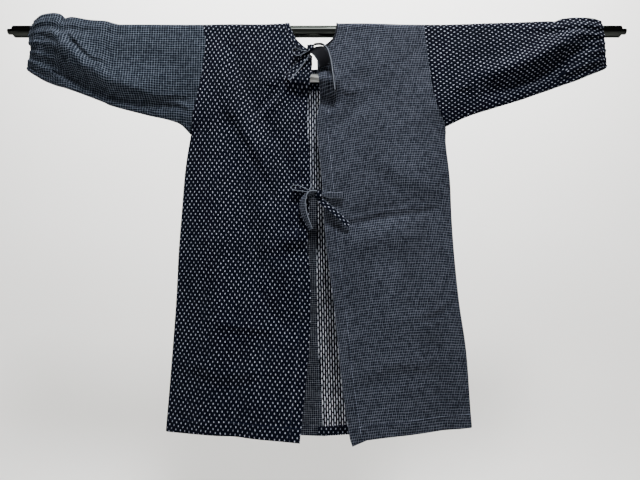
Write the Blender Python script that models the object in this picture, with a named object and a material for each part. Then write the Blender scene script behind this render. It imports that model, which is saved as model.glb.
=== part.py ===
"""A patchwork smock cut like a kimono coat, hanging by both sleeves on a black rod.

The origin is the middle of the rod's axis. +X runs along the rod to the viewer's right,
+Y points away from the viewer and +Z is up. Lengths are in metres.

Every panel is drawn first in flat cloth places: x along the rod, and drop, the way down
the cloth from the crown line on top of the rod. drape() hangs such a place in space.
"""

import math

import bmesh
import bpy
from mathutils import Vector

# Rod
ROD_RADIUS = 0.0127
ROD_HALF_LENGTH = 0.680
SPIGOT_RADIUS = 0.0065
SPIGOT_LENGTH = 0.0135
ROD_SIDES = 40

# Cloth
WALL = 0.0015
SEAM_GAP = 0.0003
ROD_CLEARANCE = 0.0005
CROWN_RADIUS = ROD_RADIUS + ROD_CLEARANCE + WALL / 2
OVER_ROD = CROWN_RADIUS * math.pi / 2

# How the two layers part from each other inside the outline
EDGE_START = 0.0006
EDGE_ROUND = 0.0040
EDGE_SLACK = 0.0003
LEAVE_ROD = 0.045
SLEEVE_SWELL_WIDTH = 0.060
HEM_SWELL_WIDTH = 0.220
SWELL_TOP_LEVEL = -0.20
SWELL_HEM_LEVEL = -0.87
BODY_REACH = 0.235
SLEEVE_REACH = 0.310

# Depth of each layer from the plane of the side seams. Columns: level, near, far
BODY_DEPTH = (
    (-0.89, 0.0470, 0.0280),
    (-0.60, 0.0315, 0.0220),
    (-0.35, 0.0225, 0.0180),
    (-0.10, 0.0165, 0.0150),
    (0.00, CROWN_RADIUS, CROWN_RADIUS),
)

# Outer edge of the body: the armhole down to the underarm, then the side. Columns: drop, x
LEFT_UNDERARM_DROP = 0.259
LEFT_EDGE = (
    (0.000, -0.2555),
    (0.022, -0.2520),
    (0.046, -0.2475),
    (0.079, -0.2480),
    (0.111, -0.2515),
    (0.150, -0.2570),
    (0.193, -0.2660),
    (0.230, -0.2725),
    (LEFT_UNDERARM_DROP, -0.2770),
    (0.305, -0.2840),
    (0.349, -0.2885),
    (0.431, -0.2930),
    (0.516, -0.2975),
    (0.620, -0.3000),
    (0.789, -0.3085),
    (0.893, -0.3147),
)
RIGHT_UNDERARM_DROP = 0.242
RIGHT_EDGE = (
    (0.000, 0.2422),
    (0.022, 0.2390),
    (0.063, 0.2430),
    (0.112, 0.2475),
    (0.154, 0.2530),
    (0.200, 0.2640),
    (0.223, 0.2740),
    (RIGHT_UNDERARM_DROP, 0.2830),
    (0.280, 0.2835),
    (0.361, 0.2905),
    (0.443, 0.2920),
    (0.536, 0.2966),
    (0.628, 0.3040),
    (0.727, 0.3160),
    (0.852, 0.3220),
    (0.8855, 0.3241),
)

# Sleeves. Columns: reach from the middle, crown above the rod's own, level of the fold below, depth
LEFT_SLEEVE = (
    (0.277, 0.000, -0.237, 0.0160),
    (0.304, 0.000, -0.212, 0.0155),
    (0.376, 0.000, -0.193, 0.0150),
    (0.454, 0.001, -0.172, 0.0150),
    (0.509, 0.012, -0.149, 0.0170),
    (0.556, 0.016, -0.131, 0.0200),
    (0.586, 0.028, -0.122, 0.0235),
    (0.617, 0.021, -0.108, 0.0215),
    (0.632, 0.007, -0.098, 0.0170),
    (0.645, 0.000, -0.090, 0.0150),
)
RIGHT_SLEEVE = (
    (0.283, 0.000, -0.220, 0.0160),
    (0.302, 0.000, -0.210, 0.0155),
    (0.333, 0.000, -0.196, 0.0150),
    (0.388, 0.001, -0.178, 0.0150),
    (0.456, 0.003, -0.157, 0.0155),
    (0.532, 0.006, -0.129, 0.0175),
    (0.584, 0.014, -0.109, 0.0210),
    (0.612, 0.010, -0.097, 0.0200),
    (0.632, 0.003, -0.089, 0.0165),
    (0.645, 0.000, -0.084, 0.0150),
)
CUFF_REACH = 0.645
CASING_WIDTH = 0.013
PUFF_FILL = 0.4

# How much wider the armhole seam opens between its middle and the underarm
UNDERARM_GAP = 0.0009

# Gathers at the cuffs
GATHERS = 14
COLUMNS_PER_GATHER = 4
GATHER_START = 0.50
GATHER_HEIGHT = 0.0040
CASING_GATHER_HEIGHT = 0.0025

# Front edges and the seam down the middle of the back. Columns: drop, x
LEFT_FRONT_EDGE = (
    (0.075, -0.0100),
    (0.115, -0.0110),
    (0.177, -0.0195),
    (0.233, -0.0225),
    (0.287, -0.0175),
    (0.365, -0.0130),
    (0.495, -0.0195),
    (0.600, -0.0125),
    (0.722, -0.0160),
    (0.859, -0.0290),
    (0.904, -0.0321),
)
RIGHT_FRONT_EDGE = (
    (0.075, 0.0005),
    (0.115, 0.0010),
    (0.177, 0.0065),
    (0.233, 0.0000),
    (0.287, 0.0035),
    (0.367, 0.0112),
    (0.497, 0.0190),
    (0.626, 0.0355),
    (0.790, 0.0513),
    (0.857, 0.0590),
    (0.908, 0.0711),
)
BACK_SEAM = (
    (0.110, 0.0000),
    (0.300, 0.0010),
    (0.513, 0.0010),
    (0.730, 0.0040),
    (0.804, 0.0087),
    (0.887, 0.0147),
    (0.909, 0.0165),
)

# Necklines, from the shoulder seam to the front edge or the middle of the back. Columns: x, drop
NEAR_LEFT_NECK = (
    (-0.0620, 0.000),
    (-0.0585, 0.018),
    (-0.0515, 0.036),
    (-0.0448, 0.047),
    (-0.0346, 0.058),
    (-0.0244, 0.067),
    (-0.0105, 0.0755),
)
NEAR_RIGHT_NECK = (
    (0.0430, 0.000),
    (0.0417, 0.023),
    (0.0392, 0.035),
    (0.0349, 0.044),
    (0.0265, 0.053),
    (0.0145, 0.063),
    (0.0007, 0.0735),
)
FAR_NECK = (
    (-0.0620, 0.000),
    (-0.0625, 0.030),
    (-0.0595, 0.062),
    (-0.0480, 0.084),
    (-0.0290, 0.098),
    (-0.0090, 0.103),
    (0.0110, 0.098),
    (0.0300, 0.084),
    (0.0410, 0.062),
    (0.0435, 0.030),
    (0.0430, 0.000),
)
BINDING_WIDTH = 0.0085
BINDING_WALL = 0.0025
BINDING_LIFT = 0.0006

# Largest folds of each layer. Columns: half width, height (a trough is negative), route of (x, level)
NEAR_FOLDS = (
    (0.020, -0.0050, ((-0.191, -0.049), (-0.147, -0.153), (-0.088, -0.256), (-0.043, -0.339))),
    (0.026, 0.0040, ((-0.215, -0.060), (-0.185, -0.160), (-0.130, -0.275))),
    (0.022, -0.0060, ((-0.190, -0.225), (-0.169, -0.317), (-0.144, -0.430), (-0.130, -0.519))),
    (0.022, -0.0050, ((-0.118, -0.545), (-0.085, -0.607), (-0.050, -0.650))),
    (0.030, 0.0050, ((-0.215, -0.480), (-0.205, -0.640), (-0.225, -0.830))),
    (0.030, 0.0045, ((-0.085, -0.420), (-0.075, -0.530))),
    (0.028, -0.0060, ((-0.155, -0.700), (-0.165, -0.880))),
    (0.022, -0.0060, ((0.100, -0.120), (0.075, -0.165), (0.050, -0.215))),
    (0.024, -0.0045, ((0.060, -0.433), (0.150, -0.415), (0.262, -0.392))),
    (0.030, 0.0045, ((0.080, -0.475), (0.165, -0.465))),
    (0.026, -0.0050, ((0.242, -0.425), (0.231, -0.473), (0.197, -0.607))),
    (0.030, 0.0050, ((0.150, -0.560), (0.160, -0.700), (0.185, -0.840))),
    (0.028, -0.0050, ((0.245, -0.700), (0.262, -0.860))),
    (0.020, -0.0060, ((-0.600, -0.046), (-0.530, -0.100), (-0.460, -0.152), (-0.365, -0.174))),
    (0.020, -0.0050, ((-0.365, -0.174), (-0.285, -0.162))),
    (0.024, 0.0040, ((-0.560, -0.020), (-0.470, -0.085), (-0.360, -0.120))),
    (0.018, -0.0050, ((0.582, -0.020), (0.520, -0.060), (0.434, -0.107), (0.330, -0.134))),
    (0.022, 0.0040, ((0.600, -0.060), (0.510, -0.108), (0.400, -0.150))),
)
FAR_FOLDS = (
    (0.028, 0.0050, ((-0.245, -0.170), (-0.170, -0.290), (-0.110, -0.450))),
    (0.024, -0.0045, ((-0.200, -0.130), (-0.120, -0.260), (-0.075, -0.380))),
    (0.028, 0.0050, ((0.240, -0.160), (0.165, -0.300), (0.120, -0.470))),
    (0.024, -0.0045, ((0.190, -0.130), (0.110, -0.280))),
    (0.032, -0.0060, ((-0.130, -0.560), (-0.140, -0.870))),
    (0.032, 0.0050, ((-0.220, -0.520), (-0.235, -0.860))),
    (0.032, -0.0060, ((0.135, -0.600), (0.150, -0.860))),
    (0.032, 0.0050, ((0.225, -0.500), (0.240, -0.850))),
    (0.020, -0.0050, ((-0.590, -0.050), (-0.500, -0.110), (-0.360, -0.150))),
    (0.018, -0.0050, ((0.585, -0.030), (0.480, -0.090), (0.340, -0.140))),
)

# Panel columns, as shares of the way from the outer edge to the inner one, and rows, as drops
PANEL_COLUMNS = (0, 0.006, 0.020, 0.055, 0.12, 0.21, 0.31, 0.41, 0.51, 0.62, 0.73, 0.84, 0.93, 1)
CREST_DROPS = (SEAM_GAP / 2, 0.0016, 0.0080, 0.0150, OVER_ROD)
YOKE_DROPS = {
    -1: CREST_DROPS + (0.034, 0.046, 0.058, 0.068, 0.0765, 0.0845, 0.115, 0.155, 0.200),
    1: CREST_DROPS + (0.036, 0.052, 0.068, 0.082, 0.094, 0.103, 0.1085, 0.1115, 0.140, 0.170, 0.210),
}
SKIRT_ROWS = 11
HEM_RISE = 0.005

# Facings and label inside the back
FACING_WALL = 0.0012
NECK_FACING_WIDTH = 0.044
SEAM_ALLOWANCE = 0.002
NECK_FACING_TOP_DROP = 0.045
HEM_FACING_WIDTH = 0.020
HEM_FACING_END = 0.265
LABEL_WALL = 0.0010
LABEL_SIZE = (0.034, 0.0190)
LABEL_CENTRE = (-0.0065, 0.1245)

# Ties: flattened tubes of cloth. A turn of 0 holds the strip edge on to the viewer, 90 flat on.
TIE_WALL = 0.0016
UPPER_KNOT = (-0.0140, -0.0272, -0.0500)
UPPER_KNOT_SIZE = (0.0150, 0.0150, 0.0125)
LOWER_KNOT = (0.0015, -0.0345, -0.3730)
LOWER_KNOT_SIZE = (0.0130, 0.0130, 0.0130)
KNOT_ROUND = 0.0035

# Columns: x, y, z, width, turn
UPPER_LEFT_LOOP = (
    (-0.0228, -0.0275, -0.0475, 0.010, 25),
    (-0.0300, -0.0290, -0.0520, 0.013, 25),
    (-0.0420, -0.0295, -0.0550, 0.015, 20),
    (-0.0500, -0.0295, -0.0575, 0.015, 15),
    (-0.0527, -0.0295, -0.0620, 0.015, 10),
    (-0.0490, -0.0295, -0.0665, 0.015, 10),
    (-0.0400, -0.0295, -0.0680, 0.015, 15),
    (-0.0310, -0.0290, -0.0620, 0.013, 20),
    (-0.0228, -0.0275, -0.0530, 0.010, 25),
)
UPPER_RIGHT_LOOP = (
    (-0.0060, -0.0280, -0.0485, 0.012, 25),
    (0.0020, -0.0290, -0.0480, 0.015, 25),
    (0.0100, -0.0300, -0.0520, 0.017, 30),
    (0.0160, -0.0305, -0.0620, 0.018, 35),
    (0.0170, -0.0305, -0.0740, 0.018, 35),
    (0.0120, -0.0305, -0.0830, 0.018, 30),
    (0.0050, -0.0300, -0.0800, 0.018, 30),
    (0.0005, -0.0295, -0.0690, 0.016, 25),
    (-0.0020, -0.0285, -0.0600, 0.014, 20),
    (-0.0060, -0.0275, -0.0545, 0.012, 20),
)
UPPER_LEFT_TAIL = (
    (-0.0170, -0.0250, -0.0575, 0.012, 82),
    (-0.0225, -0.0212, -0.0640, 0.016, 86),
    (-0.0290, -0.0190, -0.0740, 0.020, 90),
    (-0.0370, -0.0188, -0.0860, 0.023, 90),
    (-0.0460, -0.0192, -0.0980, 0.023, 90),
    (-0.0550, -0.0198, -0.1095, 0.023, 90),
    (-0.0640, -0.0204, -0.1210, 0.023, 90),
)
UPPER_RIGHT_TAIL = (
    (-0.0062, -0.0312, -0.0450, 0.012, 0),
    (-0.0025, -0.0308, -0.0412, 0.015, 0),
    (0.0050, -0.0300, -0.0395, 0.017, 0),
    (0.0135, -0.0305, -0.0430, 0.018, 4),
    (0.0225, -0.0310, -0.0560, 0.019, 6),
    (0.0285, -0.0312, -0.0700, 0.020, 8),
    (0.0330, -0.0312, -0.0850, 0.020, 9),
    (0.0360, -0.0312, -0.1045, 0.020, 10),
    (0.0378, -0.0312, -0.1240, 0.020, 10),
    (0.0405, -0.0312, -0.1500, 0.020, 12),
)
LOWER_LEFT_RUN = (
    (-0.0185, -0.0254, -0.3800, 0.013, 90),
    (-0.0130, -0.0262, -0.3790, 0.012, 88),
    (-0.0060, -0.0300, -0.3770, 0.010, 80),
)
LOWER_RIGHT_RUN = (
    (0.0200, -0.0256, -0.3800, 0.013, 90),
    (0.0145, -0.0264, -0.3790, 0.012, 88),
    (0.0090, -0.0300, -0.3775, 0.010, 80),
)
LOWER_LEFT_LOOP = (
    (-0.0062, -0.0360, -0.3685, 0.010, 20),
    (-0.0160, -0.0350, -0.3640, 0.013, 25),
    (-0.0290, -0.0345, -0.3575, 0.015, 22),
    (-0.0420, -0.0345, -0.3550, 0.015, 18),
    (-0.0515, -0.0345, -0.3575, 0.015, 12),
    (-0.0540, -0.0345, -0.3620, 0.015, 8),
    (-0.0500, -0.0345, -0.3665, 0.015, 8),
    (-0.0400, -0.0345, -0.3690, 0.015, 12),
    (-0.0260, -0.0348, -0.3710, 0.014, 18),
    (-0.0150, -0.0350, -0.3720, 0.012, 20),
    (-0.0062, -0.0360, -0.3727, 0.010, 20),
)
LOWER_RIGHT_LOOP = (
    (0.0093, -0.0395, -0.3705, 0.011, 0),
    (0.0200, -0.0415, -0.3715, 0.016, 0),
    (0.0360, -0.0425, -0.3740, 0.019, 0),
    (0.0480, -0.0420, -0.3750, 0.020, 0),
    (0.0540, -0.0375, -0.3755, 0.020, 0),
    (0.0540, -0.0325, -0.3755, 0.020, 0),
    (0.0480, -0.0290, -0.3755, 0.020, 0),
    (0.0360, -0.0290, -0.3740, 0.019, 0),
    (0.0230, -0.0315, -0.3715, 0.014, 0),
    (0.0093, -0.0350, -0.3700, 0.009, 0),
)
LOWER_LEFT_TAIL = (
    (0.0000, -0.0422, -0.3710, 0.012, 90),
    (-0.0080, -0.0440, -0.3685, 0.015, 84),
    (-0.0165, -0.0460, -0.3705, 0.018, 72),
    (-0.0235, -0.0465, -0.3800, 0.019, 62),
    (-0.0275, -0.0440, -0.3950, 0.019, 56),
    (-0.0275, -0.0410, -0.4110, 0.018, 54),
    (-0.0240, -0.0380, -0.4270, 0.017, 54),
    (-0.0180, -0.0350, -0.4420, 0.015, 54),
    (-0.0140, -0.0340, -0.4530, 0.012, 54),
)
LOWER_RIGHT_TAIL = (
    (0.0050, -0.0345, -0.3805, 0.010, 50),
    (0.0110, -0.0350, -0.3880, 0.014, 45),
    (0.0220, -0.0355, -0.3985, 0.017, 40),
    (0.0400, -0.0355, -0.4120, 0.018, 38),
    (0.0570, -0.0355, -0.4290, 0.018, 36),
    (0.0715, -0.0355, -0.4455, 0.016, 34),
)

# Finishes. Columns: colour, roughness, metallic
FINISHES = {
    "dot_kasuri": ((0.020, 0.024, 0.050), 0.85, 0.0),
    "slub_check": ((0.060, 0.075, 0.100), 0.85, 0.0),
    "fine_check": ((0.050, 0.070, 0.095), 0.85, 0.0),
    "dark_check": ((0.025, 0.030, 0.045), 0.85, 0.0),
    "dash_kasuri": ((0.060, 0.065, 0.080), 0.85, 0.0),
    "navy_cotton": ((0.012, 0.013, 0.028), 0.80, 0.0),
    "satin": ((0.420, 0.430, 0.420), 0.35, 0.0),
    "black_metal": ((0.012, 0.012, 0.012), 0.35, 0.6),
}


def smooth(table, key, column=1):
    """Reads a column of a table on a smooth curve through its rows, which are sorted by key."""
    if key <= table[0][0]:
        return table[0][column]
    if key >= table[-1][0]:
        return table[-1][column]
    last = len(table) - 1
    i = next(n for n in range(last) if key <= table[n + 1][0])

    def slope(n):
        before, after = table[max(n - 1, 0)], table[min(n + 1, last)]
        return (after[column] - before[column]) / (after[0] - before[0])

    span = table[i + 1][0] - table[i][0]
    t = (key - table[i][0]) / span
    start, end = table[i][column], table[i + 1][column]
    return (
        (1 + 2 * t) * (1 - t) ** 2 * start
        + t * (1 - t) ** 2 * span * slope(i)
        + t * t * (3 - 2 * t) * end
        - t * t * (1 - t) * span * slope(i + 1)
    )


def ease(share):
    """0 to 1 with soft ends."""
    share = min(max(share, 0), 1)
    return share * share * (3 - 2 * share)


def mix(a, b, share):
    return a + (b - a) * share


def level_of(drop):
    """Height of a place on the cloth that has come down past the rod's widest line."""
    return OVER_ROD - drop


def to_segment(x, z, a, b):
    """Distance in the plane of the garment from a point to a straight stretch."""
    dx, dz = b[0] - a[0], b[1] - a[1]
    share = ((x - a[0]) * dx + (z - a[1]) * dz) / (dx * dx + dz * dz)
    share = min(max(share, 0), 1)
    return math.hypot(x - a[0] - share * dx, z - a[1] - share * dz)


def to_route(x, z, route):
    return min(to_segment(x, z, a, b) for a, b in zip(route, route[1:]))


def border_route(sleeve, edge, underarm_drop, sign):
    """The folded or sewn border of one side: cuff, underarm, hem, as (x, level) points."""
    reaches = [mix(CUFF_REACH, sleeve[0][0], n / 14) for n in range(15)]
    below_sleeve = [(sign * reach, smooth(sleeve, reach, 2)) for reach in reaches]
    hem_drop = edge[-1][0]
    drops = [mix(underarm_drop, hem_drop, n / 16) for n in range(1, 17)]
    beyond_hem = (edge[-1][1], level_of(hem_drop) - 0.05)
    return below_sleeve + [(smooth(edge, drop), level_of(drop)) for drop in drops] + [beyond_hem]


LEFT_BORDER = border_route(LEFT_SLEEVE, LEFT_EDGE, LEFT_UNDERARM_DROP, -1)
RIGHT_BORDER = border_route(RIGHT_SLEEVE, RIGHT_EDGE, RIGHT_UNDERARM_DROP, 1)


def fold_height(x, z, folds):
    return sum(
        height * math.exp(-((to_route(x, z, route) / width) ** 2)) for width, height, route in folds
    )


def hanging_depth(x, z, side):
    """Distance of the near (side -1) or far (side 1) layer from the plane of the side seams."""
    border = LEFT_BORDER if x < 0 else RIGHT_BORDER
    inward = max(to_route(x, z, border) - EDGE_SLACK, 0)
    down = (z - SWELL_TOP_LEVEL) / (SWELL_HEM_LEVEL - SWELL_TOP_LEVEL)
    swell_width = mix(SLEEVE_SWELL_WIDTH, HEM_SWELL_WIDTH, min(max(down, 0), 1))
    body = smooth(BODY_DEPTH, z, 1 if side < 0 else 2)
    sleeve = smooth(LEFT_SLEEVE if x < 0 else RIGHT_SLEEVE, abs(x), 3)
    out = ease((abs(x) - BODY_REACH) / (SLEEVE_REACH - BODY_REACH)) * (1 - ease(down * 4))
    full = mix(body, sleeve, out)
    rounded = EDGE_ROUND * math.sqrt(1 - (1 - min(inward / EDGE_ROUND, 1)) ** 2)
    swell = 1 - (1 - min(inward / swell_width, 1)) ** 2
    folds = fold_height(x, z, NEAR_FOLDS if side < 0 else FAR_FOLDS)
    return EDGE_START + rounded + (full - EDGE_ROUND - EDGE_START) * swell + folds * ease(inward / 0.03)


def drape(x, drop, side):
    """A place on the body's cloth, hung over the rod: side -1 is near the viewer, 1 is far."""
    if drop < OVER_ROD:
        angle = drop / CROWN_RADIUS
        return Vector((x, side * CROWN_RADIUS * math.sin(angle), CROWN_RADIUS * math.cos(angle)))
    z = level_of(drop)
    depth = mix(CROWN_RADIUS, hanging_depth(x, z, side), ease(-z / LEAVE_ROD))
    return Vector((x, side * depth, z))


def lifted(x, drop, side, lift):
    """The same place moved out of the cloth by lift, which is negative towards the inside."""
    step = 0.0015
    across = drape(x + step, drop, side) - drape(x - step, drop, side)
    down = drape(x, drop + step, side) - drape(x, max(drop - step, 0), side)
    outward = across.cross(down) * side
    return drape(x, drop, side) + outward.normalized() * lift


def finish(obj, finish_name):
    """Gives a piece its own material and smooth shading with sharp rims."""
    colour, roughness, metallic = FINISHES[finish_name]
    material = bpy.data.materials.new(obj.name + "_" + finish_name)
    material.use_nodes = True
    shader = material.node_tree.nodes["Principled BSDF"]
    shader.inputs["Base Color"].default_value = (*colour, 1)
    shader.inputs["Roughness"].default_value = roughness
    shader.inputs["Metallic"].default_value = metallic
    obj.data.materials.append(material)
    obj.data.shade_smooth()
    obj.data.set_sharp_from_angle(angle=math.radians(50))
    return obj


def cloth(name, sections, finish_name, wall=WALL, ring=False):
    """A wall of cloth through sections of points, all with the same number of points."""
    bm = bmesh.new()
    rows = [[bm.verts.new(point) for point in section] for section in sections]
    for upper, lower in zip(rows, rows[1:]):
        count = len(upper)
        for n in range(count if ring else count - 1):
            after = (n + 1) % count
            bm.faces.new((upper[n], upper[after], lower[after], lower[n]))
    mesh = bpy.data.meshes.new(name)
    bm.to_mesh(mesh)
    bm.free()
    obj = bpy.data.objects.new(name, mesh)
    bpy.context.scene.collection.objects.link(obj)
    solidify = obj.modifiers.new("wall", "SOLIDIFY")
    solidify.thickness = wall
    solidify.offset = 0
    solidify.use_even_offset = True
    return finish(obj, finish_name)


def armhole_x(edge, underarm_drop, drop, side):
    """x of the armhole seam, straight between the rows of the panel on that side."""
    rows = [row for row in YOKE_DROPS[side] if row < underarm_drop] + [underarm_drop]
    for above, below in zip(rows, rows[1:]):
        if drop <= below:
            return mix(smooth(edge, above), smooth(edge, below), (drop - above) / (below - above))
    return smooth(edge, underarm_drop)


def x_on(route, drop):
    """x where a route of (x, drop) points, sorted by drop, reaches a drop."""
    for a, b in zip(route, route[1:]):
        if drop <= b[1]:
            return mix(a[0], b[0], (drop - a[1]) / (b[1] - a[1]) if b[1] > a[1] else 1)
    return route[-1][0]


def neck_curve(neck, steps):
    """Evenly spread points on a smooth neckline, as (x, drop)."""
    lengths = [0.0]
    for a, b in zip(neck, neck[1:]):
        lengths.append(lengths[-1] + math.dist(a, b))
    by_length = [(length, x, drop) for length, (x, drop) in zip(lengths, neck)]
    stations = [lengths[-1] * n / steps for n in range(steps + 1)]
    return [(smooth(by_length, s, 1), smooth(by_length, s, 2)) for s in stations]


def beside(curve, distance):
    """The curve moved to its right, seen along it with drop pointing down the page."""
    moved = []
    for n, (x, drop) in enumerate(curve):
        before, after = curve[max(n - 1, 0)], curve[min(n + 1, len(curve) - 1)]
        dx, dd = after[0] - before[0], after[1] - before[1]
        size = math.hypot(dx, dd)
        moved.append((x - distance * dd / size, drop + distance * dx / size))
    return moved


def panel_sections(side, edge, inner_neck, inner_edge, underarm_drop):
    """Rows of a front or back: from the armhole and side in to the neckline and the middle edge."""
    sign = 1 if edge[0][1] > 0 else -1
    inner = inner_neck + [(x, drop) for drop, x in inner_edge if drop > inner_neck[-1][1] + 0.002]
    outer_hem, inner_hem = edge[-1][0], inner_edge[-1][0]
    fold_up = outer_hem - HEM_FACING_WIDTH
    skirt = [mix(underarm_drop, fold_up, n / SKIRT_ROWS) for n in range(SKIRT_ROWS + 1)] + [outer_hem]
    sections = []
    for outer_drop in list(YOKE_DROPS[side]) + skirt:
        way_down = max(outer_drop - underarm_drop, 0) / (outer_hem - underarm_drop)
        inner_drop = outer_drop + (inner_hem - outer_hem) * way_down
        outer_x = smooth(edge, outer_drop)
        if outer_drop < underarm_drop:
            outer_x -= sign * SEAM_GAP / 2
        inner_x = x_on(inner, inner_drop)
        section = []
        for share in PANEL_COLUMNS:
            rise = HEM_RISE * math.sin(math.pi * share) * way_down**2
            section.append((mix(outer_x, inner_x, share), mix(outer_drop, inner_drop, share) - rise))
        sections.append(section)
    return sections


def panel(name, finish_name, side, *edges):
    """A panel hung from its flat rows."""
    rows = [[drape(x, drop, side) for x, drop in row] for row in panel_sections(side, *edges)]
    return cloth(name, rows, finish_name)


def sleeve_ring(side_edge, sleeve, underarm_drop, share, gather):
    """Points round the sleeve, share of the way from armhole to cuff, near half first."""
    sign = 1 if side_edge[0][1] > 0 else -1
    half = GATHERS * COLUMNS_PER_GATHER // 2
    over = 5
    seam = sign * SEAM_GAP / 2
    near_fold = (0.965, 0.985, 0.995, 1)
    hanging = half - over
    plain = hanging - len(near_fold)
    downs = [0.94 * (n + 1) / plain for n in range(plain)] + list(near_fold)

    end_x = sign * CUFF_REACH
    top_x = mix(smooth(side_edge, 0) + seam, end_x, share)
    fold_x = mix(smooth(side_edge, underarm_drop) + seam, end_x, share)
    crown = smooth(sleeve, abs(top_x), 1)
    radius = CROWN_RADIUS + PUFF_FILL * crown
    centre = CROWN_RADIUS + crown - radius
    fold_level = smooth(sleeve, abs(fold_x), 2)

    def along_sleeve(drop, side):
        opened = sign * UNDERARM_GAP * ease(2 * drop / underarm_drop - 1)
        return mix(armhole_x(side_edge, underarm_drop, drop, side) + seam + opened, end_x, share)

    def place(side, n):
        if n <= over:
            angle = math.pi / 2 * n / over
            x = along_sleeve(CROWN_RADIUS * angle, side)
            return Vector((x, side * radius * math.sin(angle), centre + radius * math.cos(angle)))
        down = downs[n - over - 1]
        x = along_sleeve(mix(OVER_ROD, underarm_drop, down), side)
        z = mix(centre, fold_level, down)
        depth = mix(radius, hanging_depth(x, z, side), ease((centre - z) / LEAVE_ROD))
        if n == half:
            depth = 0
        return Vector((x, side * depth, z))

    ring = [place(-1, n) for n in range(half + 1)] + [place(1, n) for n in range(half - 1, 0, -1)]
    gathered = []
    for n, point in enumerate(ring):
        along = ring[(n + 1) % len(ring)] - ring[n - 1]
        outward = Vector((0, -along.z, along.y)).normalized()
        if outward.dot(point - Vector((point.x, 0, (centre + fold_level) / 2))) < 0:
            outward.negate()
        wave = 0.5 - 0.5 * math.cos(2 * math.pi * n / COLUMNS_PER_GATHER)
        gathered.append(point + outward * gather * wave)
    return gathered


def sleeve_and_casing(prefix, finish_name, edge, sleeve, underarm_drop):
    """The tube from armhole to cuff, and the narrow elastic casing that closes it."""
    length = CUFF_REACH - abs(edge[0][1])
    casing_start = 1 - CASING_WIDTH / length
    rings = []
    rows = 10
    for n in range(rows + 1):
        share = casing_start * (n / rows) ** 0.85
        gather = GATHER_HEIGHT * ease((share - GATHER_START) / (casing_start - GATHER_START))
        rings.append(sleeve_ring(edge, sleeve, underarm_drop, share, gather))
    cloth(prefix + "_sleeve", rings, finish_name, ring=True)

    casing = []
    rows = 1
    for n in range(rows + 1):
        share = mix(casing_start + 2 * SEAM_GAP / length, 1, n / rows)
        gather = mix(GATHER_HEIGHT, CASING_GATHER_HEIGHT, n / rows)
        casing.append(sleeve_ring(edge, sleeve, underarm_drop, share, gather))
    cloth(prefix + "_cuff_casing", casing, finish_name, ring=True)


def binding(name, finish_name, panel_edge, side, outward):
    """The bound edge of a neckline: a thicker strip beside the edge that the panel stops at."""
    strip = [beside(panel_edge, outward * (SEAM_GAP + BINDING_WIDTH * part)) for part in (0, 0.5, 1)]
    sections = [
        [lifted(x, max(drop, SEAM_GAP), side, BINDING_LIFT) for x, drop in across]
        for across in zip(*strip)
    ]
    return cloth(name, sections, finish_name, BINDING_WALL)


def edge_at_rows(route, side):
    """The points where a panel's rows end on its neckline, and the lowest point of the neckline."""
    low = route[-1][1]
    return [(x_on(route, drop), drop) for drop in YOKE_DROPS[side] if drop < low - 0.001] + [route[-1]]


def ribbon(name, finish_name, rows, axis=(0, 1, 0)):
    """A tie's loop, tail or run, smoothed between its rows; at a turn of 0 its width follows axis."""
    keyed = [(n, *row) for n, row in enumerate(rows)]
    stations = [n / 2 for n in range(2 * len(rows) - 1)]
    centres = [Vector([smooth(keyed, s, column) for column in (1, 2, 3)]) for s in stations]
    sections = []
    for n, s in enumerate(stations):
        along = centres[min(n + 1, len(centres) - 1)] - centres[max(n - 1, 0)]
        flat = along.cross(Vector(axis)).normalized()
        edge_on = flat.cross(along).normalized()
        turn = math.radians(smooth(keyed, s, 5))
        half = (edge_on * math.cos(turn) + flat * math.sin(turn)) * smooth(keyed, s, 4) / 2
        sections.append([centres[n] - half, centres[n] + half])
    return cloth(name, sections, finish_name, TIE_WALL)


def knot(name, finish_name, centre, size):
    """The pulled-tight middle of a bow, a rounded block of cloth."""
    bm = bmesh.new()
    bmesh.ops.create_cube(bm, size=1)
    bmesh.ops.scale(bm, vec=size, verts=bm.verts)
    bmesh.ops.bevel(bm, geom=bm.edges[:], offset=KNOT_ROUND, segments=3, affect="EDGES")
    bmesh.ops.translate(bm, vec=centre, verts=bm.verts)
    mesh = bpy.data.meshes.new(name)
    bm.to_mesh(mesh)
    bm.free()
    obj = bpy.data.objects.new(name, mesh)
    bpy.context.scene.collection.objects.link(obj)
    return finish(obj, finish_name)


def rod():
    """A black bar with a thinner spigot at each end, where it goes into its posts."""
    bm = bmesh.new()
    bmesh.ops.create_cone(
        bm,
        cap_ends=True,
        segments=ROD_SIDES,
        radius1=ROD_RADIUS,
        radius2=ROD_RADIUS,
        depth=2 * ROD_HALF_LENGTH,
    )
    for end in [face for face in bm.faces if abs(face.normal.z) > 0.9]:
        outward = end.normal.copy()
        bmesh.ops.inset_individual(bm, faces=[end], thickness=ROD_RADIUS - SPIGOT_RADIUS)
        tip = bmesh.ops.extrude_face_region(bm, geom=[end])
        corners = [item for item in tip["geom"] if isinstance(item, bmesh.types.BMVert)]
        bmesh.ops.translate(bm, vec=outward * SPIGOT_LENGTH, verts=corners)
        bmesh.ops.delete(bm, geom=[end], context="FACES_ONLY")
    mesh = bpy.data.meshes.new("rod")
    bm.to_mesh(mesh)
    bm.free()
    obj = bpy.data.objects.new("rod", mesh)
    obj.rotation_euler = (0, math.pi / 2, 0)
    bpy.context.scene.collection.objects.link(obj)
    return finish(obj, "black_metal")


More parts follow.
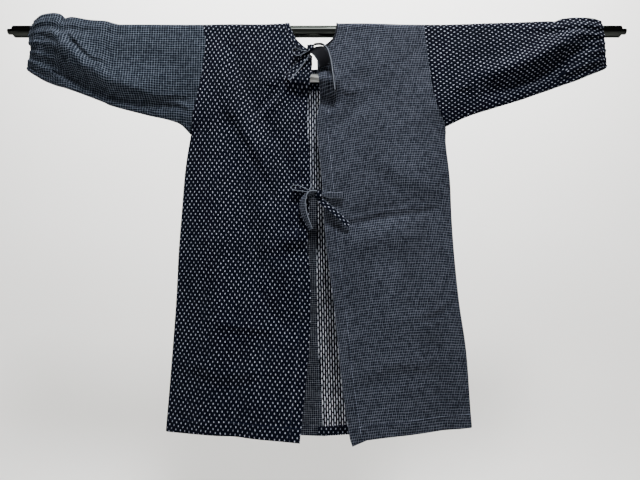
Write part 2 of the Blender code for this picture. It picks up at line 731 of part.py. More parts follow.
def neck_facing(curve):
    """The band sewn inside the lower part of the far neckline."""
    inner = beside(curve, BINDING_WIDTH + SEAM_ALLOWANCE)
    low = [n for n, (x, drop) in enumerate(curve) if drop > NECK_FACING_TOP_DROP]
    lift = -(WALL / 2 + SEAM_GAP + FACING_WALL / 2)
    sections = []
    outer = beside(curve, BINDING_WIDTH + NECK_FACING_WIDTH)
    for n in low:
        across = [
            (mix(inner[n][0], outer[n][0], share), mix(inner[n][1], outer[n][1], share))
            for share in (0, 0.33, 0.66, 1)
        ]
        sections.append([lifted(x, drop, 1, lift) for x, drop in across])
    return cloth("neck_facing", sections, "dot_kasuri", FACING_WALL)


def neck_label():
    """A bare satin label on the neck facing."""
    lift = -(WALL / 2 + SEAM_GAP + FACING_WALL + SEAM_GAP + LABEL_WALL / 2)
    width, height = LABEL_SIZE
    sections = []
    for down in (-0.5, 0, 0.5):
        drop = LABEL_CENTRE[1] + down * height
        places = [LABEL_CENTRE[0] + across * width for across in (-0.5, -0.25, 0, 0.25, 0.5)]
        sections.append([lifted(x, drop, 1, lift) for x in places])
    return cloth("neck_label", sections, "satin", LABEL_WALL)


def hem_facing(*edges):
    """The strip sewn inside the hem of the right back, on the same places as the panel's last rows."""
    lift = -(WALL / 2 + SEAM_GAP + FACING_WALL / 2)
    sections = [
        [lifted(x, drop, 1, lift) for x, drop in row if x < HEM_FACING_END]
        for row in panel_sections(1, *edges)[-2:]
    ]
    return cloth("hem_facing", sections, "dot_kasuri", FACING_WALL)


# Start from an empty scene
for obj in list(bpy.data.objects):
    bpy.data.objects.remove(obj, do_unlink=True)

rod()

# Each panel's neck edge stands back from the finished neckline by the width of its binding
set_back = BINDING_WIDTH + SEAM_GAP
near_left_neck = beside(neck_curve(NEAR_LEFT_NECK, 14), set_back)
near_right_neck = beside(neck_curve(NEAR_RIGHT_NECK, 14), -set_back)
far_neckline = neck_curve(FAR_NECK, 36)
far_neck = beside(far_neckline, set_back)
far_left_neck = far_neck[: len(far_neck) // 2 + 1]
far_right_neck = far_neck[: len(far_neck) // 2 - 1 : -1]

left_of_seam = tuple((drop, x - SEAM_GAP / 2) for drop, x in BACK_SEAM)
right_of_seam = tuple((drop, x + SEAM_GAP / 2) for drop, x in BACK_SEAM)
front_left = (LEFT_EDGE, near_left_neck, LEFT_FRONT_EDGE, LEFT_UNDERARM_DROP)
front_right = (RIGHT_EDGE, near_right_neck, RIGHT_FRONT_EDGE, RIGHT_UNDERARM_DROP)
back_left = (LEFT_EDGE, far_left_neck, left_of_seam, LEFT_UNDERARM_DROP)
back_right = (RIGHT_EDGE, far_right_neck, right_of_seam, RIGHT_UNDERARM_DROP)
panel("front_left_panel", "dot_kasuri", -1, *front_left)
panel("front_right_panel", "slub_check", -1, *front_right)
panel("back_left_panel", "dark_check", 1, *back_left)
panel("back_right_panel", "dash_kasuri", 1, *back_right)

sleeve_and_casing("left", "fine_check", LEFT_EDGE, LEFT_SLEEVE, LEFT_UNDERARM_DROP)
sleeve_and_casing("right", "dot_kasuri", RIGHT_EDGE, RIGHT_SLEEVE, RIGHT_UNDERARM_DROP)

far_rows = edge_at_rows(far_left_neck, 1) + list(reversed(edge_at_rows(far_right_neck, 1)))[1:]
binding("neck_binding_left", "dot_kasuri", edge_at_rows(near_left_neck, -1), -1, -1)
binding("neck_binding_right", "navy_cotton", edge_at_rows(near_right_neck, -1), -1, 1)
binding("neck_binding_back", "dot_kasuri", far_rows, 1, -1)
neck_facing(far_neckline)
neck_label()
hem_facing(*back_right)

knot("upper_tie_knot", "dot_kasuri", UPPER_KNOT, UPPER_KNOT_SIZE)
ribbon("upper_tie_left_loop", "dot_kasuri", UPPER_LEFT_LOOP)
ribbon("upper_tie_right_loop", "navy_cotton", UPPER_RIGHT_LOOP)
ribbon("upper_tie_left_tail", "dot_kasuri", UPPER_LEFT_TAIL)
ribbon("upper_tie_right_tail", "navy_cotton", UPPER_RIGHT_TAIL)

knot("lower_tie_knot", "slub_check", LOWER_KNOT, LOWER_KNOT_SIZE)
ribbon("lower_tie_left_run", "slub_check", LOWER_LEFT_RUN)
ribbon("lower_tie_right_run", "dot_kasuri", LOWER_RIGHT_RUN)
ribbon("lower_tie_left_loop", "dot_kasuri", LOWER_LEFT_LOOP)
ribbon("lower_tie_right_loop", "slub_check", LOWER_RIGHT_LOOP, axis=(0, 0, 1))
ribbon("lower_tie_left_tail", "slub_check", LOWER_LEFT_TAIL)
ribbon("lower_tie_right_tail", "dot_kasuri", LOWER_RIGHT_TAIL)
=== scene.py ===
"""Looks of a patchwork kasuri smock that hangs by both sleeves on a black rod.

The origin is the middle of the rod's axis. +X runs along the rod to the viewer's right,
+Y points away from the viewer and +Z is up. Lengths are in metres.
"""

import math

import bpy
import numpy as np
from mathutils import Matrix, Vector


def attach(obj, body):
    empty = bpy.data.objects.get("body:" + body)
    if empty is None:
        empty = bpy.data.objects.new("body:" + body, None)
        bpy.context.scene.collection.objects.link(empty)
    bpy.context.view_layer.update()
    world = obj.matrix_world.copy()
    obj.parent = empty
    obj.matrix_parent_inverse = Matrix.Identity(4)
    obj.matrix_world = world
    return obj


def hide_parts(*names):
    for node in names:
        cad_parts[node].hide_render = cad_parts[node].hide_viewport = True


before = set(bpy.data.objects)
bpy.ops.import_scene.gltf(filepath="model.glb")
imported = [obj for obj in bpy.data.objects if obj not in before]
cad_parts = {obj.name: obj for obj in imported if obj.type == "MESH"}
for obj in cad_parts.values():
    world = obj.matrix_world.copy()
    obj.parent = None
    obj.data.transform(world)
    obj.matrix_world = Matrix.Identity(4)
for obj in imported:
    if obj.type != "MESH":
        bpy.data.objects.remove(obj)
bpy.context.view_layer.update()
bpy.ops.object.select_all(action="DESELECT")


# The rod
# A steel tube in gloss black paint, with a thinner spigot at each end that drops into its post.
# The solid is right as it is, so it only gets its paint: slightly uneven gloss and dull rub marks.

def feed(tree, socket, value):
    """Sets a node's input, or links it where the value is another node's output."""
    if isinstance(value, bpy.types.NodeSocket):
        tree.links.new(value, socket)
    elif value is not None:
        socket.default_value = value


def put(tree, kind, *values, **options):
    """Adds a node, feeds its inputs in order, and returns it."""
    made = tree.nodes.new("ShaderNode" + kind)
    for option, value in options.items():
        setattr(made, option, value)
    for socket, value in zip(made.inputs, values):
        feed(tree, socket, value)
    return made


def noise(tree, place, scale, detail, roughness):
    """Soft noise from 0 to 1."""
    return put(tree, "TexNoise", place, None, scale, detail, roughness).outputs[0]


def spread(tree, value, low, high, to_low=0.0, to_high=1.0):
    """A value eased from one range to another."""
    node = put(tree, "MapRange", value, low, high, to_low, to_high, interpolation_type="SMOOTHSTEP")
    return node.outputs[0]


def new_finish(name):
    """A fresh material, its tree and its shader."""
    material = bpy.data.materials.new(name)
    material.use_nodes = True
    return material, material.node_tree, material.node_tree.nodes["Principled BSDF"]


RUB_MARK_SCALE = (12, 220, 220)
GLOSSIEST = 0.07
DULLEST = 0.16
rod_paint, tree, shader = new_finish("black rod paint")
shader.inputs["Base Color"].default_value = (0.024, 0.026, 0.024, 1)
shader.inputs["Metallic"].default_value = 1.0
shader.inputs["Specular Tint"].default_value = (0.03, 0.03, 0.03, 1)
place = put(tree, "TexCoord").outputs["Object"]
stretched = put(tree, "Mapping", place, (0, 0, 0), (0, 0, 0), RUB_MARK_SCALE).outputs[0]
rubbed = noise(tree, stretched, 1.0, 3.0, 0.6)
tree.links.new(spread(tree, rubbed, 0.35, 0.75, GLOSSIEST, DULLEST), shader.inputs["Roughness"])
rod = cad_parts["rod"]
rod.data.materials.clear()
rod.data.materials.append(rod_paint)


# The left front
# Indigo cotton with staggered pale dots, woven from yarn that was resist-dyed before weaving, so
# each dot's ends are feathered. It is cut in one piece from the shoulder to a turned-up hem, folds
# over the rod, and is sewn to its back down the side.

# The coat is two layers, near and far, that part from each other between the side seams. A panel
# is laid out flat as (x, drop), where drop is the way down the cloth from the crown line on top of
# the rod, and is then hung in space.

ROD_RADIUS = 0.0127
ROD_CLEARANCE = 0.0005
SOLID_WALL = 0.0015
SEAM_GAP = 0.0003
CLOTH_WALL = 0.0010
CROWN_RADIUS = ROD_RADIUS + ROD_CLEARANCE + SOLID_WALL / 2
OVER_ROD = CROWN_RADIUS * math.pi / 2

# Each layer starts at the side seam with a rounded edge, and swells out from it to its full depth
EDGE_START = 0.0006
EDGE_ROUND = 0.0040
EDGE_SLACK = 0.0003
FOLDS_START = 0.03
PUCKERS_START = 0.006
PUCKER_HEIGHT = 0.00045
PUCKER_REACH = 0.012
LEAVE_ROD = 0.045
SLEEVE_SWELL_WIDTH = 0.060
HEM_SWELL_WIDTH = 0.220
SWELL_TOP_LEVEL = -0.20
SWELL_HEM_LEVEL = -0.87
BODY_REACH = 0.235
SLEEVE_REACH = 0.310

# Columns: level, near depth, far depth
BODY_DEPTH = (
    (-0.89, 0.0470, 0.0280),
    (-0.60, 0.0315, 0.0220),
    (-0.35, 0.0225, 0.0180),
    (-0.10, 0.0165, 0.0150),
    (0.00, CROWN_RADIUS, CROWN_RADIUS),
)

# How far the cloth bunches up off the rod. Columns: x, lift
CROWN_LIFT = (
    (-0.255, 0.0000),
    (-0.190, 0.0012),
    (-0.120, 0.0010),
    (-0.065, 0.0030),
    (0.043, 0.0030),
    (0.110, 0.0032),
    (0.190, 0.0008),
    (0.242, 0.0000),
)

# The armhole down to the underarm, then the side. Columns: drop, x
LEFT_UNDERARM_DROP = 0.259
LEFT_EDGE = (
    (0.000, -0.2555),
    (0.022, -0.2520),
    (0.046, -0.2475),
    (0.079, -0.2480),
    (0.111, -0.2515),
    (0.150, -0.2570),
    (0.193, -0.2660),
    (0.230, -0.2725),
    (LEFT_UNDERARM_DROP, -0.2770),
    (0.305, -0.2840),
    (0.349, -0.2885),
    (0.431, -0.2930),
    (0.516, -0.2975),
    (0.620, -0.3000),
    (0.789, -0.3085),
    (0.893, -0.3147),
)

# The sleeve beside it. Columns: reach from the middle, crown above the rod's own, level of the
# fold below, depth
LEFT_SLEEVE = (
    (0.277, 0.000, -0.237, 0.0160),
    (0.304, 0.000, -0.212, 0.0165),
    (0.376, 0.0005, -0.193, 0.0175),
    (0.430, 0.0006, -0.179, 0.0185),
    (0.444, 0.0010, -0.175, 0.0189),
    (0.460, 0.0050, -0.170, 0.0196),
    (0.470, 0.008, -0.165, 0.0205),
    (0.509, 0.010, -0.149, 0.0225),
    (0.545, 0.015, -0.135, 0.0245),
    (0.556, 0.013, -0.131, 0.0250),
    (0.562, 0.011, -0.129, 0.0250),
    (0.568, 0.018, -0.127, 0.0250),
    (0.575, 0.022, -0.125, 0.0250),
    (0.590, 0.023, -0.120, 0.0245),
    (0.612, 0.018, -0.110, 0.0225),
    (0.628, 0.007, -0.100, 0.0185),
    (0.645, 0.000, -0.090, 0.0150),
)
CUFF_REACH = 0.645

# Large folds of the near layer. Columns: half width, height (a trough is negative), route of
# (x, level)
NEAR_FOLDS = (
    (0.020, -0.0050, ((-0.191, -0.049), (-0.147, -0.153), (-0.088, -0.256), (-0.043, -0.339))),
    (0.026, 0.0040, ((-0.215, -0.060), (-0.185, -0.160), (-0.130, -0.275))),
    (0.022, -0.0060, ((-0.190, -0.225), (-0.169, -0.317), (-0.144, -0.430), (-0.130, -0.519))),
    (0.022, -0.0050, ((-0.118, -0.545), (-0.085, -0.607), (-0.050, -0.650))),
    (0.030, 0.0050, ((-0.215, -0.480), (-0.205, -0.640), (-0.225, -0.830))),
    (0.030, 0.0045, ((-0.085, -0.420), (-0.075, -0.530))),
    (0.028, -0.0060, ((-0.155, -0.700), (-0.165, -0.880))),
    (0.022, -0.0060, ((0.100, -0.120), (0.075, -0.165), (0.050, -0.215))),
    (0.016, -0.0060, ((0.002, -0.160), (0.034, -0.163))),
    (0.024, -0.0045, ((0.060, -0.433), (0.150, -0.415), (0.262, -0.392))),
    (0.030, 0.0045, ((0.080, -0.475), (0.165, -0.465))),
    (0.026, -0.0050, ((0.242, -0.425), (0.231, -0.473), (0.197, -0.607))),
    (0.030, 0.0050, ((0.150, -0.560), (0.160, -0.700), (0.185, -0.840))),
    (0.028, -0.0050, ((0.245, -0.700), (0.262, -0.860))),
    (0.020, -0.0060, ((-0.600, -0.046), (-0.530, -0.100), (-0.460, -0.152), (-0.365, -0.174))),
    (0.020, -0.0050, ((-0.365, -0.174), (-0.285, -0.162))),
    (0.024, 0.0040, ((-0.560, -0.020), (-0.470, -0.085), (-0.360, -0.120))),
    (0.014, 0.0045, ((0.600, -0.064), (0.552, -0.102), (0.508, -0.130), (0.449, -0.154))),
    (0.010, 0.0040, ((-0.574, -0.020), (-0.547, -0.048), (-0.515, -0.076))),
)

# Rolled folds: the cloth stands out above the route and falls back below it, so that it faces
# down and turns dark. Columns: half width, height, route, drawn from left to right
NEAR_ROLLS = (
    (0.0185, 0.0140, ((-0.612, -0.050), (-0.569, -0.073), (-0.533, -0.098), (-0.503, -0.120),
                      (-0.458, -0.144), (-0.408, -0.159), (-0.355, -0.166))),
    (0.0050, 0.0032, ((-0.410, -0.143), (-0.357, -0.160), (-0.313, -0.158), (-0.272, -0.155))),
    (0.0045, 0.0030, ((-0.339, -0.1705), (-0.304, -0.1735), (-0.277, -0.1885))),
    (0.0190, 0.0150, ((0.345, -0.134), (0.397, -0.121), (0.440, -0.108), (0.484, -0.091),
                      (0.528, -0.067), (0.566, -0.043), (0.600, -0.013), (0.614, 0.003))),
    (0.0040, 0.0032, ((-0.556, -0.002), (-0.539, -0.027), (-0.523, -0.045), (-0.508, -0.061),
                      (-0.489, -0.075), (-0.466, -0.082))),
    (0.0200, 0.0090, ((-0.078, -0.134), (-0.040, -0.138), (-0.008, -0.142))),
    (0.0180, 0.0175, ((-0.012, -0.137), (0.020, -0.141), (0.046, -0.145))),
    (0.0160, 0.0075, ((-0.078, -0.492), (-0.042, -0.485), (-0.016, -0.480))),
    (0.0100, 0.0030, ((0.010, -0.425), (0.040, -0.430), (0.072, -0.436))),
    (0.0060, 0.0022, ((0.050, -0.437), (0.120, -0.424), (0.190, -0.412), (0.270, -0.396))),
    (0.0060, 0.0016, ((0.190, -0.642), (0.240, -0.632), (0.286, -0.606))),
    (0.0090, 0.0026, ((-0.214, -0.652), (-0.150, -0.664), (-0.090, -0.668))),
    (0.0100, 0.0030, ((-0.200, -0.180), (-0.150, -0.262), (-0.090, -0.372))),
    (0.0150, 0.0032, ((0.050, -0.215), (0.082, -0.168), (0.130, -0.128))),
    (0.0080, 0.0030, ((-0.040, -0.090), (-0.090, -0.160), (-0.150, -0.215))),
    (0.0120, 0.0030, ((-0.140, -0.520), (-0.100, -0.600), (-0.050, -0.668))),
    (0.0180, 0.0026, ((0.120, -0.300), (0.170, -0.345), (0.240, -0.372))),
    (0.0140, 0.0030, ((0.100, -0.760), (0.170, -0.735), (0.260, -0.742))),
    (0.0140, 0.0030, ((-0.270, -0.740), (-0.190, -0.762), (-0.110, -0.752))),
)

# Smaller creases, sharp at the bottom and dying out at both ends. Columns as above
NEAR_CREASES = (
    (0.0042, -0.0034, ((0.078, -0.4335), (0.118, -0.4250), (0.150, -0.4165), (0.190, -0.4080))),
    (0.0042, -0.0022, ((0.050, -0.4390), (0.068, -0.4360), (0.086, -0.4350))),
    (0.0045, -0.0016, ((0.257, -0.426), (0.280, -0.430))),
    (0.0060, -0.0020, ((0.242, -0.411), (0.233, -0.452), (0.229, -0.492), (0.214, -0.545))),
    (0.0055, -0.0018, ((0.252, -0.372), (0.240, -0.410))),
    (0.0060, -0.0018, ((0.200, -0.638), (0.252, -0.627), (0.280, -0.607))),
    (0.0050, -0.0014, ((0.042, -0.680), (0.073, -0.680))),
    (0.0070, -0.0018, ((-0.208, -0.655), (-0.150, -0.662), (-0.101, -0.667))),
    (0.0080, -0.0030, ((0.094, -0.141), (0.076, -0.168), (0.059, -0.193))),
    (0.0045, -0.0036, ((-0.626, -0.002), (-0.608, -0.016), (-0.580, -0.036), (-0.559, -0.051))),
    (0.0060, -0.0022, ((-0.336, -0.168), (-0.300, -0.172), (-0.284, -0.186))),
    (0.0040, -0.0034, ((-0.548, -0.012), (-0.534, -0.034), (-0.516, -0.053), (-0.498, -0.068))),
)


def ease(share):
    """0 to 1 with soft ends."""
    share = np.clip(share, 0, 1)
    return share * share * (3 - 2 * share)


def mix(a, b, share):
    return a + (b - a) * share


def read(table, key, column=1):
    """Reads a column of a table on a smooth curve through its rows, which are sorted by key."""
    rows = np.array(table, float)
    keys, values = rows[:, 0], rows[:, column]
    last = len(keys) - 1
    before = np.maximum(np.arange(last + 1) - 1, 0)
    after = np.minimum(np.arange(last + 1) + 1, last)
    slopes = (values[after] - values[before]) / (keys[after] - keys[before])
    key = np.clip(key, keys[0], keys[-1])
    i = np.clip(np.searchsorted(keys, key) - 1, 0, last - 1)
    span = keys[i + 1] - keys[i]
    t = (key - keys[i]) / span
    return (
        (1 + 2 * t) * (1 - t) ** 2 * values[i]
        + t * (1 - t) ** 2 * span * slopes[i]
        + t * t * (3 - 2 * t) * values[i + 1]
        - t * t * (1 - t) * span * slopes[i + 1]
    )


def to_route(x, z, route):
    """Distance from each place to a route, the share of it at its nearest point, and its side."""
    points = np.array(route, float)
    lengths = np.linalg.norm(np.diff(points, axis=0), axis=1)
    starts = np.concatenate([[0], np.cumsum(lengths)])
    nearest = np.full(np.shape(x), np.inf)
    reached = np.zeros(np.shape(x))
    below = np.zeros(np.shape(x))
    for a, b, start, length in zip(points, points[1:], starts, lengths):
        run = (b - a) / length
        along = np.clip((x - a[0]) * run[0] + (z - a[1]) * run[1], 0, length)
        away = np.hypot(x - a[0] - along * run[0], z - a[1] - along * run[1])
        reached = np.where(away < nearest, (start + along) / starts[-1], reached)
        side = np.sign((x - a[0]) * run[1] - (z - a[1]) * run[0])
        below = np.where(away < nearest, side, below)
        nearest = np.minimum(away, nearest)
    return nearest, reached, below


def fading(reached):
    """1 along most of a crease, dying out at both ends."""
    return np.sqrt(np.sin(np.pi * np.clip(reached, 0.01, 0.99)))


def border_route(sleeve, edge, underarm_drop, sign):
    """The folded or sewn border of one side, as (x, level): cuff, underarm, hem and past the hem."""
    reaches = np.linspace(CUFF_REACH, sleeve[0][0], 15)
    below_sleeve = list(zip(sign * reaches, read(sleeve, reaches, 2)))
    drops = np.linspace(underarm_drop, edge[-1][0], 17)[1:]
    side = list(zip(read(edge, drops), OVER_ROD - drops))
    past_hem = 0.05
    return below_sleeve + side + [(edge[-1][1], OVER_ROD - edge[-1][0] - past_hem)]


# The border and the sleeve of each half of the coat: -1 is the left half, 1 the right
halves = {-1: (border_route(LEFT_SLEEVE, LEFT_EDGE, LEFT_UNDERARM_DROP, -1), LEFT_SLEEVE)}


def puckers(inward, along):
    """The slight waves that a seam's thread draws into the cloth beside it."""
    wave = np.sin(along * 330) + 0.6 * np.sin(along * 517 + 1.3) + 0.5 * np.sin(along * 197 + 0.4)
    return PUCKER_HEIGHT * wave * np.exp(-inward / PUCKER_REACH)


def hanging_depth(x, z, side):
    """Distance of the near (side -1) or far (side 1) layer from the plane of the side seams."""
    inward = np.zeros(np.shape(x))
    sleeve_depth = np.zeros(np.shape(x))
    for sign, (border, sleeve) in halves.items():
        here = (x < 0) == (sign < 0)
        inward = np.where(here, to_route(x, z, border)[0], inward)
        sleeve_depth = np.where(here, read(sleeve, abs(x), 3), sleeve_depth)
    inward = np.maximum(inward - EDGE_SLACK, 0)
    down = (z - SWELL_TOP_LEVEL) / (SWELL_HEM_LEVEL - SWELL_TOP_LEVEL)
    swell_width = mix(SLEEVE_SWELL_WIDTH, HEM_SWELL_WIDTH, np.clip(down, 0, 1))
    body_depth = read(BODY_DEPTH, z, 1 if side < 0 else 2)
    in_sleeve = ease((abs(x) - BODY_REACH) / (SLEEVE_REACH - BODY_REACH)) * (1 - ease(down * 4))
    full = mix(body_depth, sleeve_depth, in_sleeve)
    rounded = EDGE_ROUND * np.sqrt(1 - (1 - np.minimum(inward / EDGE_ROUND, 1)) ** 2)
    swell = 1 - (1 - np.minimum(inward / swell_width, 1)) ** 2
    raised = np.zeros(np.shape(x))
    for half_width, height, route in NEAR_FOLDS if side < 0 else FAR_FOLDS:
        raised += height * np.exp(-((to_route(x, z, route)[0] / half_width) ** 2))
    for half_width, height, route in NEAR_CREASES if side < 0 else FAR_CREASES:
        away, reached = to_route(x, z, route)[:2]
        raised += height * fading(reached) * np.exp(-away / half_width)
    for half_width, height, route in NEAR_ROLLS if side < 0 else FAR_ROLLS:
        away, reached, below = to_route(x, z, route)
        off = away * below / half_width
        raised -= height * fading(reached) * off * np.exp(0.5 - 0.5 * off**2)
    raised = raised * ease(inward / FOLDS_START) + puckers(inward, x + z) * ease(inward / PUCKERS_START)
    return np.maximum(EDGE_START + rounded + (full - EDGE_ROUND - EDGE_START) * swell + raised, EDGE_START)


def drape(x, drop, side):
    """Places on the body's cloth, hung over the rod: side -1 is near the viewer, 1 is far."""
    x, drop = np.broadcast_arrays(np.asarray(x, float), np.asarray(drop, float))
    z = OVER_ROD - drop
    angle = np.minimum(drop, OVER_ROD) / CROWN_RADIUS
    radius = CROWN_RADIUS + read(CROWN_LIFT, x) * np.cos(angle)
    hung = mix(CROWN_RADIUS, hanging_depth(x, z, side), ease(-z / LEAVE_ROD))
    on_rod = drop < OVER_ROD
    depth = np.where(on_rod, radius * np.sin(angle), hung)
    level = np.where(on_rod, radius * np.cos(angle), z)
    return np.stack([x, side * depth, level], axis=-1)


def unit(vectors):
    """The same directions, each one long."""
    return vectors / np.maximum(np.linalg.norm(vectors, axis=-1, keepdims=True), 1e-9)


def lay_flat(piece, flat):
    """Writes each vertex's place on the flat cloth, in metres, into a piece's UV map."""
    corners = np.empty(len(piece.data.loops), np.int32)
    piece.data.loops.foreach_get("vertex_index", corners)
    uv = flat.reshape(-1, 2)[corners].astype(np.float32)
    piece.data.uv_layers[0].data.foreach_set("uv", uv.ravel())


def lay_cloth(name, places, flat, finish, wall=CLOTH_WALL, tube=False, capped=False, rim=None, sewn=()):
    """A sheet or tube of cloth: a grid laid through places, with its flat cloth as UV.

    The rim is 1 where the cloth is painted pale, partly as wear and partly as painted highlight, and 0
    elsewhere. Each row that is sewn runs along X or Y of the flat cloth, and gives the distance from its
    stitches.
    """
    rows, columns = places.shape[:2]
    bpy.ops.object.select_all(action="DESELECT")
    bpy.ops.mesh.primitive_grid_add(x_subdivisions=columns - 1, y_subdivisions=rows - 1, size=1)
    piece = bpy.context.object
    piece.name = name
    piece.data.vertices.foreach_set("co", places.astype(np.float32).ravel())
    lay_flat(piece, flat)
    marks = {"row " + axis: 1 + past for axis, past in sewn}
    if rim is not None:
        marks["rim"] = rim
    for mark, values in marks.items():
        layer = piece.data.attributes.new(mark, "FLOAT", "POINT")
        values = np.broadcast_to(values, (rows, columns))
        layer.data.foreach_set("value", values.astype(np.float32).ravel())
    if tube:
        bpy.ops.object.mode_set(mode="EDIT")
        bpy.ops.mesh.select_all(action="SELECT")
        bpy.ops.mesh.remove_doubles(threshold=0.00002)
        if capped:
            bpy.ops.mesh.select_all(action="DESELECT")
            bpy.ops.mesh.select_non_manifold(extend=False)
            bpy.ops.mesh.fill_holes(sides=0)
        bpy.ops.mesh.select_all(action="SELECT")
        bpy.ops.mesh.normals_make_consistent(inside=False)
        bpy.ops.object.mode_set(mode="OBJECT")
    if wall:
        solidify = piece.modifiers.new("wall", "SOLIDIFY")
        solidify.thickness = wall
        solidify.offset = 0
        solidify.use_even_offset = True
        bpy.ops.object.modifier_apply(modifier="wall")
    piece.data.materials.append(finish)
    bpy.ops.object.shade_smooth_by_angle(angle=math.radians(60))
    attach(piece, "root")
    return piece


PANEL_SHARES = np.concatenate(
    [[0, 0.003, 0.008, 0.015, 0.024, 0.035], np.linspace(0.048, 0.985, 82), [0.991, 0.9955, 1]]
)
HEM_RISE = 0.005
BINDING_WIDTH = 0.0085
HEM_FOLD_REACH = 0.0035
HEM_FOLD_DEPTH = 0.0024
CORNER_STARTS = 0.885
CORNER_POINTED = 12
EDGE_STEP = 0.004


def travelled(line):
    """How far along a line each of its points is."""
    return np.concatenate([[0], np.cumsum(np.linalg.norm(np.diff(line, axis=0), axis=1))])


def neck_line(neck, steps):
    """Evenly spread points on a smooth neckline, as (x, drop)."""
    points = np.array(neck, float)
    lengths = travelled(points)
    keyed = np.column_stack([lengths, points])
    stations = np.linspace(0, lengths[-1], steps)
    return np.column_stack([read(keyed, stations, 1), read(keyed, stations, 2)])


def beside(line, distance):
    """The line moved to its right, seen along it with drop pointing down the page."""
    run = unit(np.gradient(line, axis=0))
    return line + np.reshape(distance, (-1, 1)) * np.column_stack([-run[:, 1], run[:, 0]])


def panel_flat(edge, neck, middle, underarm_drop, hem_rise=HEM_RISE, corner_dip=0.0):
    """Flat places of a front or back, from the armhole and side in to the neck and the middle edge.

    Rows are closest over the rod, at the neck's lowest point and at the hem. The hem's inner corner
    can hang lower than the rest of the hem, by corner_dip.
    """
    sign = 1 if edge[0][1] > 0 else -1
    neck_low = neck[:, 1].max()
    outer_hem, inner_hem = edge[-1][0], middle[-1][0]
    edge_drops = np.arange(neck_low + EDGE_STEP, inner_hem, EDGE_STEP)
    inner_drops = np.concatenate([neck[:, 1], edge_drops, [inner_hem]])
    inner_x = np.concatenate([neck[:, 0], read(middle, edge_drops), [middle[-1][1]]])
    drops = np.concatenate([
        np.linspace(SEAM_GAP / 2, OVER_ROD, 9),
        np.linspace(OVER_ROD + 0.003, neck_low - 0.016, 16),
        np.linspace(neck_low - 0.0145, neck_low + 0.0005, 12),
        np.linspace(neck_low + 0.004, underarm_drop, 40),
        np.linspace(underarm_drop + 0.0036, outer_hem - 0.0030, 171),
        outer_hem - np.array([0.0018, 0.0008, 0]),
    ])[:, None]
    way_down = np.maximum(drops - underarm_drop, 0) / (outer_hem - underarm_drop)
    inner_drop = drops + (inner_hem - outer_hem) * way_down
    outer_x = read(edge, drops) - sign * SEAM_GAP / 2 * (drops < underarm_drop)
    middle_x = np.interp(inner_drop, inner_drops, inner_x)
    rise = hem_rise * np.sin(np.pi * PANEL_SHARES) * way_down**2
    near_corner = np.clip((PANEL_SHARES - CORNER_STARTS) / (1 - CORNER_STARTS), 0, 1)
    dip = corner_dip * (near_corner - PANEL_SHARES) * way_down**CORNER_POINTED
    x = mix(outer_x, middle_x, PANEL_SHARES)
    return np.stack([x, mix(drops, inner_drop, PANEL_SHARES) - rise + dip], axis=-1)


def hem_row(flat, set_in):
    """The row of stitches that runs set_in above the hem."""
    return "X", flat[-1:, :, 1] - flat[..., 1] - set_in


def front_row(flat, set_in):
    """The row of stitches that runs set_in beside the front edge."""
    return "Y", np.abs(flat[:, -1:, 0] - flat[..., 0]) - set_in


def hang_panel(flat, side):
    """Hangs a panel, its hem rounded inwards where the cloth is folded up."""
    places = drape(flat[..., 0], flat[..., 1], side)
    above = np.clip((flat[-1:, :, 1] - flat[..., 1]) / HEM_FOLD_REACH, 0, 1)
    places[..., 1] -= side * HEM_FOLD_DEPTH * (1 - np.sqrt(1 - (1 - above) ** 2))
    return places


def along_grain(flat, grain, sag=0.0):
    """Where the places lie in the weave of a panel whose yarns don't hang straight.

    Columns: drop, lean of the upright yarns to the left going down, fall of the cross ones to the right.
    Sag is how fast that fall dies out, and turns over, across the panel.
    """
    x, drop = flat[..., 0], flat[..., 1]
    steps = np.linspace(0, 1, 400)
    leans = np.tan(np.radians(read(grain, steps, 1)))
    slid = np.interp(drop, steps, np.cumsum(leans) * steps[1])
    fallen = np.tan(np.radians(read(grain, drop, 2))) * x * (1 - sag * np.abs(x))
    return np.stack([x + slid, drop - fallen], axis=-1)


def work(tree, operation, *values):
    """The result of a Math node."""
    return put(tree, "Math", *values, operation=operation).outputs[0]


def work_place(tree, operation, *values):
    """The result of a Vector Math node."""
    return put(tree, "VectorMath", *values, operation=operation).outputs[0]


def blend(tree, share, first, second):
    """The first colour turned into the second by a share."""
    made = put(tree, "Mix", data_type="RGBA")
    for socket, value in ((0, share), (6, first), (7, second)):
        feed(tree, made.inputs[socket], value)
    return made.outputs[2]


def shaded(tree, colour, shade):
    """A colour made darker or lighter."""
    made = put(tree, "VectorMath", colour, operation="SCALE")
    tree.links.new(shade, made.inputs["Scale"])
    return made.outputs[0]


def start_group(name, inputs, outputs):
    """An empty shader group with its input and output nodes."""
    group = bpy.data.node_groups.new(name, "ShaderNodeTree")
    for socket, kind in inputs:
        group.interface.new_socket(name=socket, in_out="INPUT", socket_type="NodeSocket" + kind)
    for socket, kind in outputs:
        group.interface.new_socket(name=socket, in_out="OUTPUT", socket_type="NodeSocket" + kind)
    return group, group.nodes.new("NodeGroupInput").outputs, group.nodes.new("NodeGroupOutput").inputs


def use_group(tree, group, **values):
    """The outputs of a group placed in a tree, with its inputs fed by name."""
    made = tree.nodes.new("ShaderNodeGroup")
    made.node_tree = group
    for name, value in values.items():
        feed(tree, made.inputs[name.replace("_", " ")], value)
    return made.outputs


